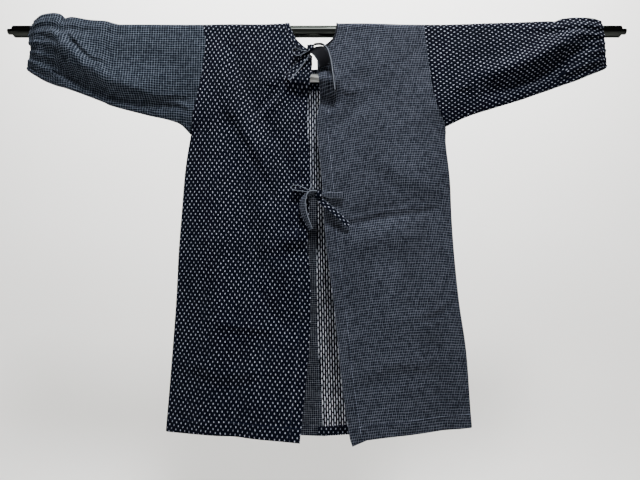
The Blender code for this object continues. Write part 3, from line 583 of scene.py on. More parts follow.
# Marks that were dyed into the yarn: staggered ovals, some fainter than others. Their ends are
# feathered, because each yarn has slipped a little along its neighbours.
DYED_YARN = 0.00075
YARN_SLIP = 0.0016
FAINTEST_MARK = 0.45
kasuri_marks, given, result = start_group(
    "kasuri marks",
    [
        ("Place", "Vector"),
        ("Across", "Float"),
        ("Along", "Float"),
        ("Half Width", "Float"),
        ("Half Length", "Float"),
    ],
    [("Marks", "Float")],
)
g = kasuri_marks
parts = put(g, "SeparateXYZ", given["Place"]).outputs
yarn = work(g, "FLOOR", work(g, "DIVIDE", parts["X"], DYED_YARN))
slip = put(g, "TexWhiteNoise", None, yarn, noise_dimensions="1D").outputs["Value"]
slid = work(g, "ADD", parts["Y"], work(g, "MULTIPLY", work(g, "SUBTRACT", slip, 0.5), YARN_SLIP))
stagger = []
for offset in (0.0, 0.5):
    cell = []
    oval = []
    for way, pitch, half in ((parts["X"], "Across", "Half Width"), (slid, "Along", "Half Length")):
        count = work(g, "ADD", work(g, "DIVIDE", way, given[pitch]), offset)
        cell.append(work(g, "FLOOR", count))
        share = work(g, "SUBTRACT", work(g, "FRACT", count), 0.5)
        oval.append(work(g, "DIVIDE", work(g, "MULTIPLY", share, given[pitch]), given[half]))
    own = put(g, "CombineXYZ", *cell, offset).outputs[0]
    dye = put(g, "TexWhiteNoise", own, noise_dimensions="3D").outputs["Value"]
    place = put(g, "CombineXYZ", *oval, 0.0).outputs[0]
    away = put(g, "VectorMath", place, operation="LENGTH").outputs["Value"]
    mark = spread(g, away, 1.25, 0.75)
    strength = work(g, "MULTIPLY_ADD", dye, 1 - FAINTEST_MARK, FAINTEST_MARK)
    stagger.append(work(g, "MULTIPLY", mark, strength))
g.links.new(work(g, "MAXIMUM", *stagger), result["Marks"])

# Plain weave: the crossing yarns' own relief, and yarns of uneven thickness and shade
CROSSING_RELIEF = 0.00006
UNEVEN_RELIEF = 0.00012
ALONG_EACH_YARN = ((1500, 55, 1), (55, 1500, 1))
plain_weave, given, result = start_group(
    "plain weave",
    [("Place", "Vector"), ("Yarn", "Float"), ("Slub", "Float")],
    [("Height", "Float"), ("Shade", "Float")],
)
g = plain_weave
parts = put(g, "SeparateXYZ", given["Place"]).outputs
turns = []
streaks = []
for axis, scale in zip("XY", ALONG_EACH_YARN):
    half_turns = work(g, "DIVIDE", work(g, "MULTIPLY", parts[axis], math.pi), given["Yarn"])
    turns.append(work(g, "SINE", half_turns))
    long_way = work_place(g, "MULTIPLY", given["Place"], scale)
    streaks.append(noise(g, long_way, 1.0, 2.0, 0.5))
crossing = work(g, "MULTIPLY", work(g, "MULTIPLY", *turns), CROSSING_RELIEF)
uneven = work(g, "SUBTRACT", work(g, "ADD", *streaks), 1.0)
g.links.new(work(g, "MULTIPLY_ADD", uneven, UNEVEN_RELIEF, crossing), result["Height"])
g.links.new(work(g, "MULTIPLY_ADD", uneven, given["Slub"], 1.0), result["Shade"])

# Washed cotton: slack ripples a few centimetres wide, a crumpled finer grain, and a patchy fade
RIPPLE_HEIGHT = 0.0024
CRUMPLE_HEIGHT = 0.0006
MOST_FADED = 1.10
LEAST_FADED = 0.90
washed, given, result = start_group(
    "washed cotton", [("Place", "Vector")], [("Height", "Float"), ("Fade", "Float")]
)
g = washed
slack = noise(g, given["Place"], 22.0, 2.0, 0.45)
crumpled = noise(g, given["Place"], 95.0, 3.0, 0.55)
patch = noise(g, given["Place"], 9.0, 2.0, 0.5)
ripple = work(g, "MULTIPLY", slack, RIPPLE_HEIGHT)
g.links.new(work(g, "MULTIPLY_ADD", crumpled, CRUMPLE_HEIGHT, ripple), result["Height"])
g.links.new(spread(g, patch, 0.25, 0.75, LEAST_FADED, MOST_FADED), result["Fade"])

# A row of running stitches and the doubled cloth that it holds down. Row is 1 on the stitches, more
# by the distance into the single cloth and less by the distance into the doubled cloth. The thread
# draws the cloth into a furrow darkened with painted shade, and wear leaves a pale ridge where the
# doubled cloth ends.
STITCH_PITCH = 0.0040
THREAD_RELIEF = 0.0003
FURROW_DEPTH = 0.0004
DOUBLED_RISE = 0.0006
FURROW_PAINTED_SHADE = -0.45
RIDGE_SHADE = 0.75
RIDGE_FROM_STITCHES = 0.0022
sewn_row, given, result = start_group(
    "sewn row",
    [("Along", "Float"), ("Row", "Float")],
    [("Thread", "Float"), ("Height", "Float"), ("Wear And Shade", "Float")],
)
g = sewn_row
past = work(g, "SUBTRACT", given["Row"], 1.0)
either_side = work(g, "ABSOLUTE", past)
beat = work(g, "FRACT", work(g, "DIVIDE", given["Along"], STITCH_PITCH))
stitch = spread(g, work(g, "ABSOLUTE", work(g, "SUBTRACT", beat, 0.5)), 0.37, 0.33)
thin = spread(g, either_side, 0.0005, 0.0002)
thread = work(g, "MULTIPLY", stitch, thin)
drawn_in = spread(g, either_side, 0.0030, 0.0, 0.0, -FURROW_DEPTH)
doubled = spread(g, past, 0.0026, 0.0012, 0.0, DOUBLED_RISE)
g.links.new(thread, result["Thread"])
raised = work(g, "MULTIPLY_ADD", thread, THREAD_RELIEF, drawn_in)
g.links.new(work(g, "ADD", raised, doubled), result["Height"])
# Painted shade darkens the colour in the furrow by the stitches
painted_furrow_shade = spread(g, either_side, 0.0016, 0.0004, 0.0, FURROW_PAINTED_SHADE)
from_ridge = work(g, "ABSOLUTE", work(g, "SUBTRACT", past, RIDGE_FROM_STITCHES))
ridge = spread(g, from_ridge, 0.0014, 0.0004, 0.0, RIDGE_SHADE)
g.links.new(work(g, "ADD", work(g, "ADD", painted_furrow_shade, ridge), 1.0), result["Wear And Shade"])


YARN_WIDTH = 0.0005
# Rims are painted pale: partly wear on folded edges, partly painted highlight where an edge faces the light
RIM_PALENESS = 0.7
RIM_WEAR_AND_HIGHLIGHT_COLOUR = (0.13, 0.145, 0.175, 1)
THREAD_COLOUR = (0.020, 0.023, 0.040, 1)
WAVER = 0.0028


def cotton(name, ground, yarn_colour, pattern=None, slub=0.25):
    """A cotton cloth: pattern(tree, place) gives the share of the pale yarn over the ground."""
    material, tree, shader = new_finish(name)
    straight = put(tree, "UVMap").outputs[0]
    waver = put(tree, "TexNoise", straight, None, 42.0, 2.0, 0.5).outputs["Color"]
    off_middle = work_place(tree, "SUBTRACT", waver, (0.5, 0.5, 0.5))
    shift = work_place(tree, "MULTIPLY", off_middle, (WAVER, WAVER, 0.0))
    place = work_place(tree, "ADD", straight, shift)
    wash = use_group(tree, washed, Place=straight)
    weave = use_group(tree, plain_weave, Place=place, Yarn=YARN_WIDTH, Slub=slub)
    pale = pattern(tree, place) if pattern else 0.0
    colour = blend(tree, pale, (*ground, 1), (*yarn_colour, 1))
    # Pale rims, partly wear and partly painted highlight
    rim = put(tree, "Attribute", attribute_name="rim").outputs["Fac"]
    colour = blend(tree, work(tree, "MULTIPLY", rim, RIM_PALENESS), colour, RIM_WEAR_AND_HIGHLIGHT_COLOUR)
    ways = put(tree, "SeparateXYZ", place).outputs
    rows = []
    for axis in ("X", "Y"):
        row = put(tree, "Attribute", attribute_name="row " + axis).outputs["Fac"]
        rows.append(use_group(tree, sewn_row, Along=ways[axis], Row=row))
    thread = work(tree, "MAXIMUM", rows[0]["Thread"], rows[1]["Thread"])
    colour = blend(tree, thread, colour, THREAD_COLOUR)
    shade = work(tree, "MULTIPLY", weave["Shade"], wash["Fade"])
    height = work(tree, "ADD", weave["Height"], wash["Height"])
    # Each sewn row darkens its furrow with painted shade and pales its worn ridge
    for row in rows:
        shade = work(tree, "MULTIPLY", shade, row["Wear And Shade"])
        height = work(tree, "ADD", height, row["Height"])
    tree.links.new(shaded(tree, colour, shade), shader.inputs["Base Color"])
    bump = put(tree, "Bump")
    bump.inputs["Strength"].default_value = 1.0
    bump.inputs["Distance"].default_value = 1.0
    tree.links.new(height, bump.inputs["Height"])
    tree.links.new(bump.outputs[0], shader.inputs["Normal"])
    tree.links.new(spread(tree, weave["Shade"], 0.7, 1.3, 0.92, 0.78), shader.inputs["Roughness"])
    shader.inputs["Specular IOR Level"].default_value = 0.02
    shader.inputs["Sheen Weight"].default_value = 0.004
    shader.inputs["Sheen Roughness"].default_value = 0.6
    return material


def kasuri(tree, place, across, along, half_width, half_length):
    """Dyed marks of one size, with the spacing at which each column and row comes again."""
    sizes = dict(Across=across, Along=along, Half_Width=half_width, Half_Length=half_length)
    return use_group(tree, kasuri_marks, Place=place, **sizes)["Marks"]


def dots(tree, place):
    return kasuri(tree, place, across=0.0101, along=0.0140, half_width=0.00095, half_length=0.00175)


dot_kasuri = cotton("dot kasuri", (0.0009, 0.0015, 0.0042), (0.33, 0.35, 0.43), dots)

# The edge of the opening. Columns: drop, x
LEFT_FRONT_EDGE = (
    (0.075, -0.0100),
    (0.115, -0.0110),
    (0.177, -0.0195),
    (0.233, -0.0225),
    (0.287, -0.0175),
    (0.365, -0.0130),
    (0.495, -0.0195),
    (0.600, -0.0125),
    (0.722, -0.0160),
    (0.833, -0.0260),
    (0.864, -0.0292),
    (0.886, -0.0318),
    (0.904, -0.0334),
)
# The neckline, from the crown down to the tie. Columns: x, drop
NEAR_LEFT_NECK = (
    (-0.0620, 0.000),
    (-0.0585, 0.018),
    (-0.0515, 0.036),
    (-0.0448, 0.047),
    (-0.0346, 0.058),
    (-0.0244, 0.067),
    (-0.0105, 0.0755),
)
NECK_POINTS = 60
near_left_neck = neck_line(NEAR_LEFT_NECK, NECK_POINTS)
# Columns: drop, lean of the upright yarns, fall of the cross ones, in degrees
LEFT_GRAIN = (
    (0.00, 6.5, 6.5),
    (0.15, 5.5, 6.0),
    (0.35, 2.2, 3.7),
    (0.60, 4.5, 4.5),
    (0.80, 5.3, 4.9),
    (0.91, 4.5, 4.8),
)
flat = panel_flat(LEFT_EDGE, beside(near_left_neck, BINDING_WIDTH), LEFT_FRONT_EDGE, LEFT_UNDERARM_DROP)
HEM_TURN = 0.026
FRONT_FACING = 0.021
left_front = lay_cloth(
    "left_front",
    hang_panel(flat, -1),
    along_grain(flat, LEFT_GRAIN),
    dot_kasuri,
    sewn=[hem_row(flat, HEM_TURN), front_row(flat, FRONT_FACING)],
)
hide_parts("front_left_panel")


# The right front
# A softer, paler cotton in a small grid of grey slubby yarn on navy, cut like the left front.

# The armhole and the side, then the sleeve beside it. Columns as on the left
RIGHT_UNDERARM_DROP = 0.242
RIGHT_EDGE = (
    (0.000, 0.2422),
    (0.022, 0.2390),
    (0.063, 0.2430),
    (0.112, 0.2475),
    (0.154, 0.2530),
    (0.200, 0.2640),
    (0.223, 0.2740),
    (RIGHT_UNDERARM_DROP, 0.2830),
    (0.280, 0.2835),
    (0.361, 0.2905),
    (0.443, 0.2920),
    (0.536, 0.2966),
    (0.628, 0.3040),
    (0.727, 0.3160),
    (0.852, 0.3220),
    (0.8855, 0.3241),
)
RIGHT_SLEEVE = (
    (0.283, 0.0000, -0.220, 0.0160),
    (0.302, 0.0005, -0.210, 0.0160),
    (0.333, 0.0015, -0.196, 0.0165),
    (0.388, 0.0036, -0.178, 0.0175),
    (0.456, 0.0052, -0.157, 0.0190),
    (0.505, 0.0060, -0.139, 0.0205),
    (0.525, 0.0055, -0.132, 0.0210),
    (0.531, 0.0044, -0.129, 0.0212),
    (0.537, 0.0070, -0.127, 0.0214),
    (0.548, 0.0108, -0.123, 0.0218),
    (0.578, 0.0126, -0.112, 0.0220),
    (0.607, 0.0112, -0.099, 0.0205),
    (0.632, 0.0060, -0.089, 0.0170),
    (0.645, 0.0035, -0.084, 0.0150),
)

# Pale lines both ways, spun unevenly. Line is a line's half width as a share of the pitch, and
# Upright is how strong the upright lines are beside the others.
LINE_BLUR = 0.08
LINE_STRENGTH = 0.45
CROSSING_STRENGTH = 0.45
SLUBS_PER_METRE = 70.0
THINNEST = 0.30
THICKEST = 1.25
APART = 5.37
checked_yarn, given, result = start_group(
    "checked yarn",
    [("Place", "Vector"), ("Across", "Float"), ("Along", "Float"), ("Line", "Float"), ("Upright", "Float")],
    [("Lines", "Float")],
)
g = checked_yarn
parts = put(g, "SeparateXYZ", given["Place"]).outputs
both = []
for across, along, pitch, seed in (("X", "Y", "Across", 0.0), ("Y", "X", "Along", 31.0)):
    count = work(g, "DIVIDE", parts[across], given[pitch])
    from_line = work(g, "ABSOLUTE", work(g, "SUBTRACT", work(g, "FRACT", count), 0.5))
    edge_far = work(g, "ADD", given["Line"], LINE_BLUR)
    edge_near = work(g, "SUBTRACT", given["Line"], LINE_BLUR)
    line = spread(g, from_line, edge_far, edge_near)
    own = work(g, "MULTIPLY_ADD", work(g, "FLOOR", count), APART, seed)
    spun = put(g, "CombineXYZ", own, work(g, "MULTIPLY", parts[along], SLUBS_PER_METRE), 0.0).outputs[0]
    thick = spread(g, noise(g, spun, 1.0, 2.0, 0.6), 0.30, 0.70, THINNEST, THICKEST)
    both.append(work(g, "MULTIPLY", line, thick))
both[0] = work(g, "MULTIPLY", both[0], given["Upright"])
single = work(g, "MULTIPLY", work(g, "ADD", *both), LINE_STRENGTH)
crossed = work(g, "MULTIPLY", *both)
g.links.new(work(g, "MULTIPLY_ADD", crossed, CROSSING_STRENGTH, single), result["Lines"])


def grid(tree, place, across, along, line=0.14, upright=1.0):
    """A small check with one pale line in each pitch across and along."""
    sizes = dict(Across=across, Along=along, Line=line, Upright=upright)
    return use_group(tree, checked_yarn, Place=place, **sizes)["Lines"]


def slub_grid(tree, place):
    return grid(tree, place, across=0.00363, along=0.0052, line=0.13, upright=1.5)


slub_check = cotton("slub check", (0.0014, 0.0022, 0.0046), (0.091, 0.101, 0.131), slub_grid, slub=0.5)

RIGHT_FRONT_EDGE = (
    (0.075, 0.0005),
    (0.115, 0.0010),
    (0.177, 0.0065),
    (0.233, 0.0000),
    (0.287, 0.0035),
    (0.367, 0.0112),
    (0.497, 0.0190),
    (0.626, 0.0355),
    (0.790, 0.0513),
    (0.848, 0.0588),
    (0.864, 0.0617),
    (0.886, 0.0646),
    (0.899, 0.0673),
    (0.910, 0.0714),
)
NEAR_RIGHT_NECK = (
    (0.0430, 0.000),
    (0.0417, 0.023),
    (0.0392, 0.035),
    (0.0349, 0.044),
    (0.0265, 0.053),
    (0.0145, 0.063),
    (0.0007, 0.0735),
)
near_right_neck = neck_line(NEAR_RIGHT_NECK, NECK_POINTS)
halves[1] = (border_route(RIGHT_SLEEVE, RIGHT_EDGE, RIGHT_UNDERARM_DROP, 1), RIGHT_SLEEVE)
RIGHT_GRAIN = (
    (0.00, -8.2, -12.5),
    (0.30, -5.8, -14.5),
    (0.50, -5.8, -14.0),
    (0.75, -7.8, -12.0),
    (0.91, -7.8, -11.0),
)
# How much of its binding shows, down from the shoulder. Columns: share of the way, width
RIGHT_BINDING_SHOWS = ((0.0, 0.0022), (0.5, 0.0026), (0.75, 0.0055), (1.0, BINDING_WIDTH))
# A pale line along the front edge, in the rim colour
FRONT_EDGE_PALENESS = 0.6
right_binding_width = read(RIGHT_BINDING_SHOWS, np.linspace(0, 1, NECK_POINTS))
flat = panel_flat(
    RIGHT_EDGE,
    beside(near_right_neck, -right_binding_width),
    RIGHT_FRONT_EDGE,
    RIGHT_UNDERARM_DROP,
    corner_dip=0.0084,
)
right_front = lay_cloth(
    "right_front",
    hang_panel(flat, -1),
    along_grain(flat, RIGHT_GRAIN, sag=2.2),
    slub_check,
    rim=FRONT_EDGE_PALENESS * (PANEL_SHARES == 1),
    sewn=[hem_row(flat, HEM_TURN), front_row(flat, FRONT_FACING)],
)
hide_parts("front_right_panel")


# The backs
# Two more cottons meet in a seam down the middle: a fine dark check on the left, and pale upright
# dashes, dyed into the yarn like the dots, on the right. Both are cut round the deeper neckline.

# Folds, rolled folds and creases of the far layer. Columns as for the near one
FAR_FOLDS = (
    (0.028, 0.0050, ((-0.245, -0.170), (-0.170, -0.290), (-0.110, -0.450))),
    (0.024, -0.0045, ((-0.200, -0.130), (-0.120, -0.260), (-0.075, -0.380))),
    (0.028, 0.0050, ((0.240, -0.160), (0.165, -0.300), (0.120, -0.470))),
    (0.024, -0.0045, ((0.190, -0.130), (0.110, -0.280))),
    (0.032, -0.0060, ((-0.130, -0.560), (-0.140, -0.870))),
    (0.032, 0.0050, ((-0.220, -0.520), (-0.235, -0.860))),
    (0.032, -0.0060, ((0.135, -0.600), (0.150, -0.860))),
    (0.032, 0.0050, ((0.225, -0.500), (0.240, -0.850))),
    (0.020, -0.0050, ((-0.590, -0.050), (-0.500, -0.110), (-0.360, -0.150))),
    (0.018, -0.0050, ((0.585, -0.030), (0.480, -0.090), (0.340, -0.140))),
)
FAR_ROLLS = (
    (0.0130, 0.0060, ((-0.600, -0.040), (-0.520, -0.104), (-0.400, -0.150))),
    (0.0120, 0.0050, ((0.330, -0.140), (0.450, -0.100), (0.560, -0.045))),
    (0.0130, 0.0040, ((-0.240, -0.190), (-0.160, -0.290), (-0.060, -0.360))),
    (0.0130, 0.0040, ((0.060, -0.380), (0.150, -0.300), (0.235, -0.200))),
    (0.0140, 0.0034, ((-0.260, -0.560), (-0.150, -0.600), (-0.050, -0.590))),
    (0.0140, 0.0034, ((0.050, -0.690), (0.150, -0.660), (0.270, -0.690))),
)
FAR_CREASES = (
    (0.0060, -0.0022, ((-0.190, -0.300), (-0.120, -0.318), (-0.060, -0.322))),
    (0.0060, -0.0020, ((0.120, -0.480), (0.180, -0.500), (0.250, -0.492))),
    (0.0060, -0.0020, ((0.230, -0.230), (0.190, -0.262), (0.130, -0.280))),
    (0.0070, -0.0020, ((-0.250, -0.620), (-0.200, -0.640), (-0.140, -0.640))),
    (0.0060, -0.0020, ((0.060, -0.720), (0.120, -0.735), (0.170, -0.728))),
)


def dashes(tree, place):
    return kasuri(tree, place, across=0.0105, along=0.0145, half_width=0.00085, half_length=0.0058)


# The left back is pieced: the dash cloth reaches over its upper part, down to a seam behind the bow
PIECING_DROP = 0.378
DARK_CHECK_PITCH = 0.0045
DARK_CHECK_STRENGTH = 0.17


def pieced(tree, place):
    drop = put(tree, "SeparateXYZ", place).outputs["Y"]
    below = work(tree, "GREATER_THAN", drop, PIECING_DROP)
    above = work(tree, "SUBTRACT", 1.0, below)
    check = grid(tree, place, DARK_CHECK_PITCH, DARK_CHECK_PITCH)
    lower = work(tree, "MULTIPLY", work(tree, "MULTIPLY", check, DARK_CHECK_STRENGTH), below)
    return work(tree, "MULTIPLY_ADD", dashes(tree, place), above, lower)


dark_check = cotton("dark check", (0.0014, 0.0020, 0.0046), (0.62, 0.67, 0.80), pieced, slub=0.4)
dash_kasuri = cotton("dash kasuri", (0.0009, 0.0013, 0.0035), (0.66, 0.70, 0.80), dashes)

# The seam down the middle. Columns: drop, x
BACK_SEAM = (
    (0.110, 0.0000),
    (0.300, 0.0000),
    (0.513, -0.0002),
    (0.650, 0.0004),
    (0.730, 0.0035),
    (0.833, 0.0102),
    (0.887, 0.0132),
    (0.911, 0.0142),
)
# The neckline, from the left end of the crown round to the right one. Columns: x, drop
FAR_NECK = (
    (-0.0620, 0.000),
    (-0.0625, 0.030),
    (-0.0595, 0.062),
    (-0.0480, 0.084),
    (-0.0290, 0.098),
    (-0.0090, 0.103),
    (0.0110, 0.098),
    (0.0300, 0.084),
    (0.0410, 0.062),
    (0.0435, 0.030),
    (0.0430, 0.000),
)
BACK_HEM_RISE = -0.002
BACK_HEM_TURN = 0.0185
BACK_GRAIN = ((0.0, 0.0, 0.0), (0.5, -1.0, -0.5), (0.91, -1.6, -1.0))
far_neck = neck_line(FAR_NECK, 2 * NECK_POINTS + 1)
far_cut = beside(far_neck, BINDING_WIDTH)
left_cut = far_cut[: NECK_POINTS + 1]
right_cut = far_cut[: NECK_POINTS - 1 : -1]
for half, slot, finish, edge, neck, underarm_drop in (
    ("left", "dark_check", dark_check, LEFT_EDGE, left_cut, LEFT_UNDERARM_DROP),
    ("right", "dash_kasuri", dash_kasuri, RIGHT_EDGE, right_cut, RIGHT_UNDERARM_DROP),
):
    flat = panel_flat(edge, neck, BACK_SEAM, underarm_drop, BACK_HEM_RISE)
    back = lay_cloth(
        half + "_back",
        hang_panel(flat, 1),
        along_grain(flat, BACK_GRAIN),
        finish,
        sewn=[hem_row(flat, BACK_HEM_TURN)],
    )
    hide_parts("back_" + half + "_panel")


# The sleeves
# Each is a tube sewn into the armhole, seam underneath, threaded on the rod and gathered at the
# cuff. The left one is a fine bluish check, the right one the dotted cotton turned a quarter.

FINE_CHECK_PITCH = 0.00545


def fine_grid(tree, place):
    return grid(tree, place, FINE_CHECK_PITCH, FINE_CHECK_PITCH)


fine_check = cotton("fine check", (0.0016, 0.0030, 0.0058), (0.088, 0.104, 0.134), fine_grid, slub=0.5)

GATHER_START = 0.50
GATHER_HEIGHT = 0.0040
CASING_GATHER_HEIGHT = 0.0025
SMALL_FOLD_HEIGHT = 0.0009
SMALL_FOLDS_START = 0.82
SMALL_FOLDS_REACH = 0.14
CASING_WIDTH = 0.013
CASING_ROW_SET_IN = 0.0015
UNDERARM_GAP = 0.0009
PUFF_FILL = 0.2
CREST_STEPS = 12
HANG_STEPS = 66
CLOSER_AT_UNDERARM = 1.25

# The gathers are counted round the sleeve in steps, 4 to a gather: 5 from the crown to where the
# cloth leaves the rod, and 28 down to the underarm, closer together there
GATHER_SPACING = 4
SMALL_FOLD_SPACING = 1.9
COUNT_OVER_ROD = 5
COUNT_STATIONS = (0, 0.0495, 0.94, 0.965, 0.985, 0.995, 1)
COUNTS = (COUNT_OVER_ROD, 6, 24, 25, 26, 27, 28)

# The cuffs' ends lean. Columns: share of the way down, reach
LEFT_CUFF_END = (
    (0.0, 0.6290),
    (0.15, 0.6345),
    (0.3, 0.6372),
    (0.6, 0.6335),
    (0.8, 0.6385),
    (1.0, CUFF_REACH),
)
RIGHT_CUFF_END = ((0.0, 0.6330), (0.3, 0.6360), (0.8, 0.6395), (1.0, CUFF_REACH))


def sleeve_places(edge, sleeve, underarm_drop, cuff_end, shares, gathers):
    """Rows of places round a sleeve, shares of the way from armhole to cuff, near half first."""
    sign = 1 if edge[0][1] > 0 else -1
    seam = sign * SEAM_GAP / 2
    shares = shares[:, None]
    top_x = mix(read(edge, 0.0) + seam, sign * cuff_end[0][1], shares)
    fold_x = mix(read(edge, underarm_drop) + seam, sign * cuff_end[-1][1], shares)
    crown = read(sleeve, abs(top_x), 1)
    radius = CROWN_RADIUS + PUFF_FILL * crown
    centre = CROWN_RADIUS + crown - radius
    fold_level = read(sleeve, abs(fold_x), 2)
    angle = np.linspace(0, math.pi / 2, CREST_STEPS + 1)
    down = 1 - (1 - np.linspace(0, 1, HANG_STEPS + 1)[1:]) ** CLOSER_AT_UNDERARM

    def along(drop):
        opened = sign * UNDERARM_GAP * ease(2 * drop / underarm_drop - 1)
        return mix(read(edge, drop) + seam + opened, sign * read(cuff_end, drop / underarm_drop), shares)

    layers = []
    for side in (-1, 1):
        crest_x = along(CROWN_RADIUS * angle)
        crest = np.stack([crest_x, side * radius * np.sin(angle), centre + radius * np.cos(angle)], axis=-1)
        hang_x = along(mix(OVER_ROD, underarm_drop, down))
        level = mix(centre, fold_level, down)
        depth = mix(radius, hanging_depth(hang_x, level, side), ease((centre - level) / LEAVE_ROD))
        depth[:, -1] = 0
        hang = np.stack([hang_x, side * depth, level], axis=-1)
        layers.append(np.concatenate([crest, hang], axis=1))
    over_rod = COUNT_OVER_ROD * angle / (math.pi / 2)
    count = np.concatenate([over_rod, np.interp(down, COUNT_STATIONS, COUNTS)])
    count = np.concatenate([count, 2 * COUNTS[-1] - count[-2::-1]])
    ring = np.concatenate([layers[0], layers[1][:, -2::-1]], axis=1)
    run = np.roll(ring[:, :-1], -1, axis=1) - np.roll(ring[:, :-1], 1, axis=1)
    run = np.concatenate([run, run[:, :1]], axis=1)
    outward = unit(np.stack([np.zeros(run.shape[:2]), -run[..., 2], run[..., 1]], axis=-1))
    middle = np.zeros(ring.shape)
    middle[..., 0] = ring[..., 0]
    middle[..., 2] = (centre + fold_level) / 2
    outward *= np.where(((ring - middle) * outward).sum(-1) < 0, -1, 1)[..., None]
    return ring + outward * gathers(shares, count)[..., None]


def round_tube(ring, lean, quarter_turned):
    """Flat cloth of a tube: the way along it, and the way round it from the crown, turned by lean."""
    steps = np.linalg.norm(np.diff(ring, axis=1), axis=2)
    girth = np.concatenate([np.zeros((len(ring), 1)), np.cumsum(steps, axis=1)], axis=1)
    turn = math.radians(lean)
    along, round_it = ring[..., 0], -girth
    flat_x = along * math.cos(turn) + round_it * math.sin(turn)
    flat_y = round_it * math.cos(turn) - along * math.sin(turn)
    return np.stack([flat_y, flat_x] if quarter_turned else [flat_x, flat_y], axis=-1)


def gather_wave(count):
    """0 between two gathers, 1 on top of one."""
    return 0.5 - 0.5 * np.cos(2 * math.pi * count / GATHER_SPACING)


def small_folds(shares, count):
    """Finer folds that run a little askew over the gathers."""
    return SMALL_FOLD_HEIGHT * np.sin(2 * math.pi * count / SMALL_FOLD_SPACING + 6 * shares)


for half, slot, finish, edge, sleeve, underarm_drop, cuff_end, lean in (
    ("left", "fine_check", fine_check, LEFT_EDGE, LEFT_SLEEVE, LEFT_UNDERARM_DROP, LEFT_CUFF_END, 0.0),
    ("right", "dot_kasuri", dot_kasuri, RIGHT_EDGE, RIGHT_SLEEVE, RIGHT_UNDERARM_DROP, RIGHT_CUFF_END, 4.4),
):
    quarter_turned = half == "right"
    length = CUFF_REACH - abs(edge[0][1])
    casing_start = 1 - CASING_WIDTH / length

    def sleeve_gathers(shares, count):
        # Each gather starts a little higher or lower than the next
        own = 0.12 * np.sin(count * 1.9) + 0.08 * np.sin(count * 0.83 + 1)
        grown = ease((shares - GATHER_START - own) / (casing_start - GATHER_START - own))
        small = small_folds(shares, count) * ease((shares - SMALL_FOLDS_START) / SMALL_FOLDS_REACH)
        return GATHER_HEIGHT * grown * gather_wave(count) + small

    def casing_gathers(shares, count):
        height = mix(GATHER_HEIGHT, CASING_GATHER_HEIGHT, (shares - casing_start) / (1 - casing_start))
        return height * gather_wave(count) + small_folds(shares, count)

    shares = casing_start * np.linspace(0, 1, 100)
    ring = sleeve_places(edge, sleeve, underarm_drop, cuff_end, shares, sleeve_gathers)
    flat = round_tube(ring, lean, quarter_turned)
    sleeve_piece = lay_cloth(half + "_sleeve_cloth", ring, flat, finish, tube=True)
    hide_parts(half + "_sleeve")
    shares = np.linspace(casing_start + 2 * SEAM_GAP / length, 1, 5)
    ring = sleeve_places(edge, sleeve, underarm_drop, cuff_end, shares, casing_gathers)
    flat = round_tube(ring, lean, quarter_turned)
    past = (casing_start + CASING_ROW_SET_IN / length - shares)[:, None] * length
    row = [("X" if quarter_turned else "Y", past)]
    casing = lay_cloth(half + "_cuff", ring, flat, finish, tube=True, sewn=row)
    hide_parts(half + "_cuff_casing")


# The neck bindings
# A bias strip folded over the raw edge of the neckline and sewn down, left front, right front and
# back. The left front's and the back's are dotted cotton. The right front's is plain navy, and is
# rolled almost out of sight at the shoulder.

def outward_at(x, drop, side):
    """The direction out of the cloth, away from the wearer."""
    step = 0.0015
    across = drape(x + step, drop, side) - drape(x - step, drop, side)
    down = drape(x, drop + step, side) - drape(x, np.maximum(drop - step, 0), side)
    return unit(np.cross(across, down)) * side


def lifted(x, drop, side, lift):
    """The same places moved out of the cloth by lift, which is negative towards the inside."""
    return drape(x, drop, side) + outward_at(x, drop, side) * lift


ROUNDING = 0.7
RIM_SHARPNESS = 12
RIM_SET_IN = 0.0004
ROW_SET_IN = 0.0012


def flat_tube(name, centres, across, widths, thickness, finish, worn=0.5, rims=(1, 1), sewn=0):
    """A folded strip of cloth along centres: rounded at both sides and closed at both ends.

    Its two rims are painted pale by different shares, partly as wear and partly as painted highlight.
    One of them, 1 or -1, can be sewn down.
    """
    run = unit(np.gradient(centres, axis=0))
    out = unit(np.cross(run, across))
    across = unit(np.cross(out, run))
    around = np.linspace(0, 2 * math.pi, 19)
    wide = np.sign(np.cos(around)) * np.abs(np.cos(around)) ** ROUNDING
    thick = np.sign(np.sin(around)) * np.abs(np.sin(around)) ** ROUNDING
    half = np.broadcast_to(np.asarray(widths, float), len(centres))[:, None, None] / 2
    places = centres[:, None] + across[:, None] * wide[None, :, None] * (half - RIM_SET_IN)
    places = places + out[:, None] * thick[None, :, None] * thickness / 2
    down_it = -travelled(centres)[:, None]
    flat = np.stack(np.broadcast_arrays(wide[None] * half[..., 0], down_it), axis=-1)
    rim = worn * np.abs(wide) ** RIM_SHARPNESS * np.where(wide > 0, *rims)
    row = [("Y", (1 - sewn * wide) * half[..., 0] - ROW_SET_IN)] if sewn else []
    return lay_cloth(name, places, flat, finish, wall=0, tube=True, capped=True, rim=rim, sewn=row)


navy_cotton = cotton("navy cotton", (0.0042, 0.0044, 0.0056), (0.0042, 0.0044, 0.0056))

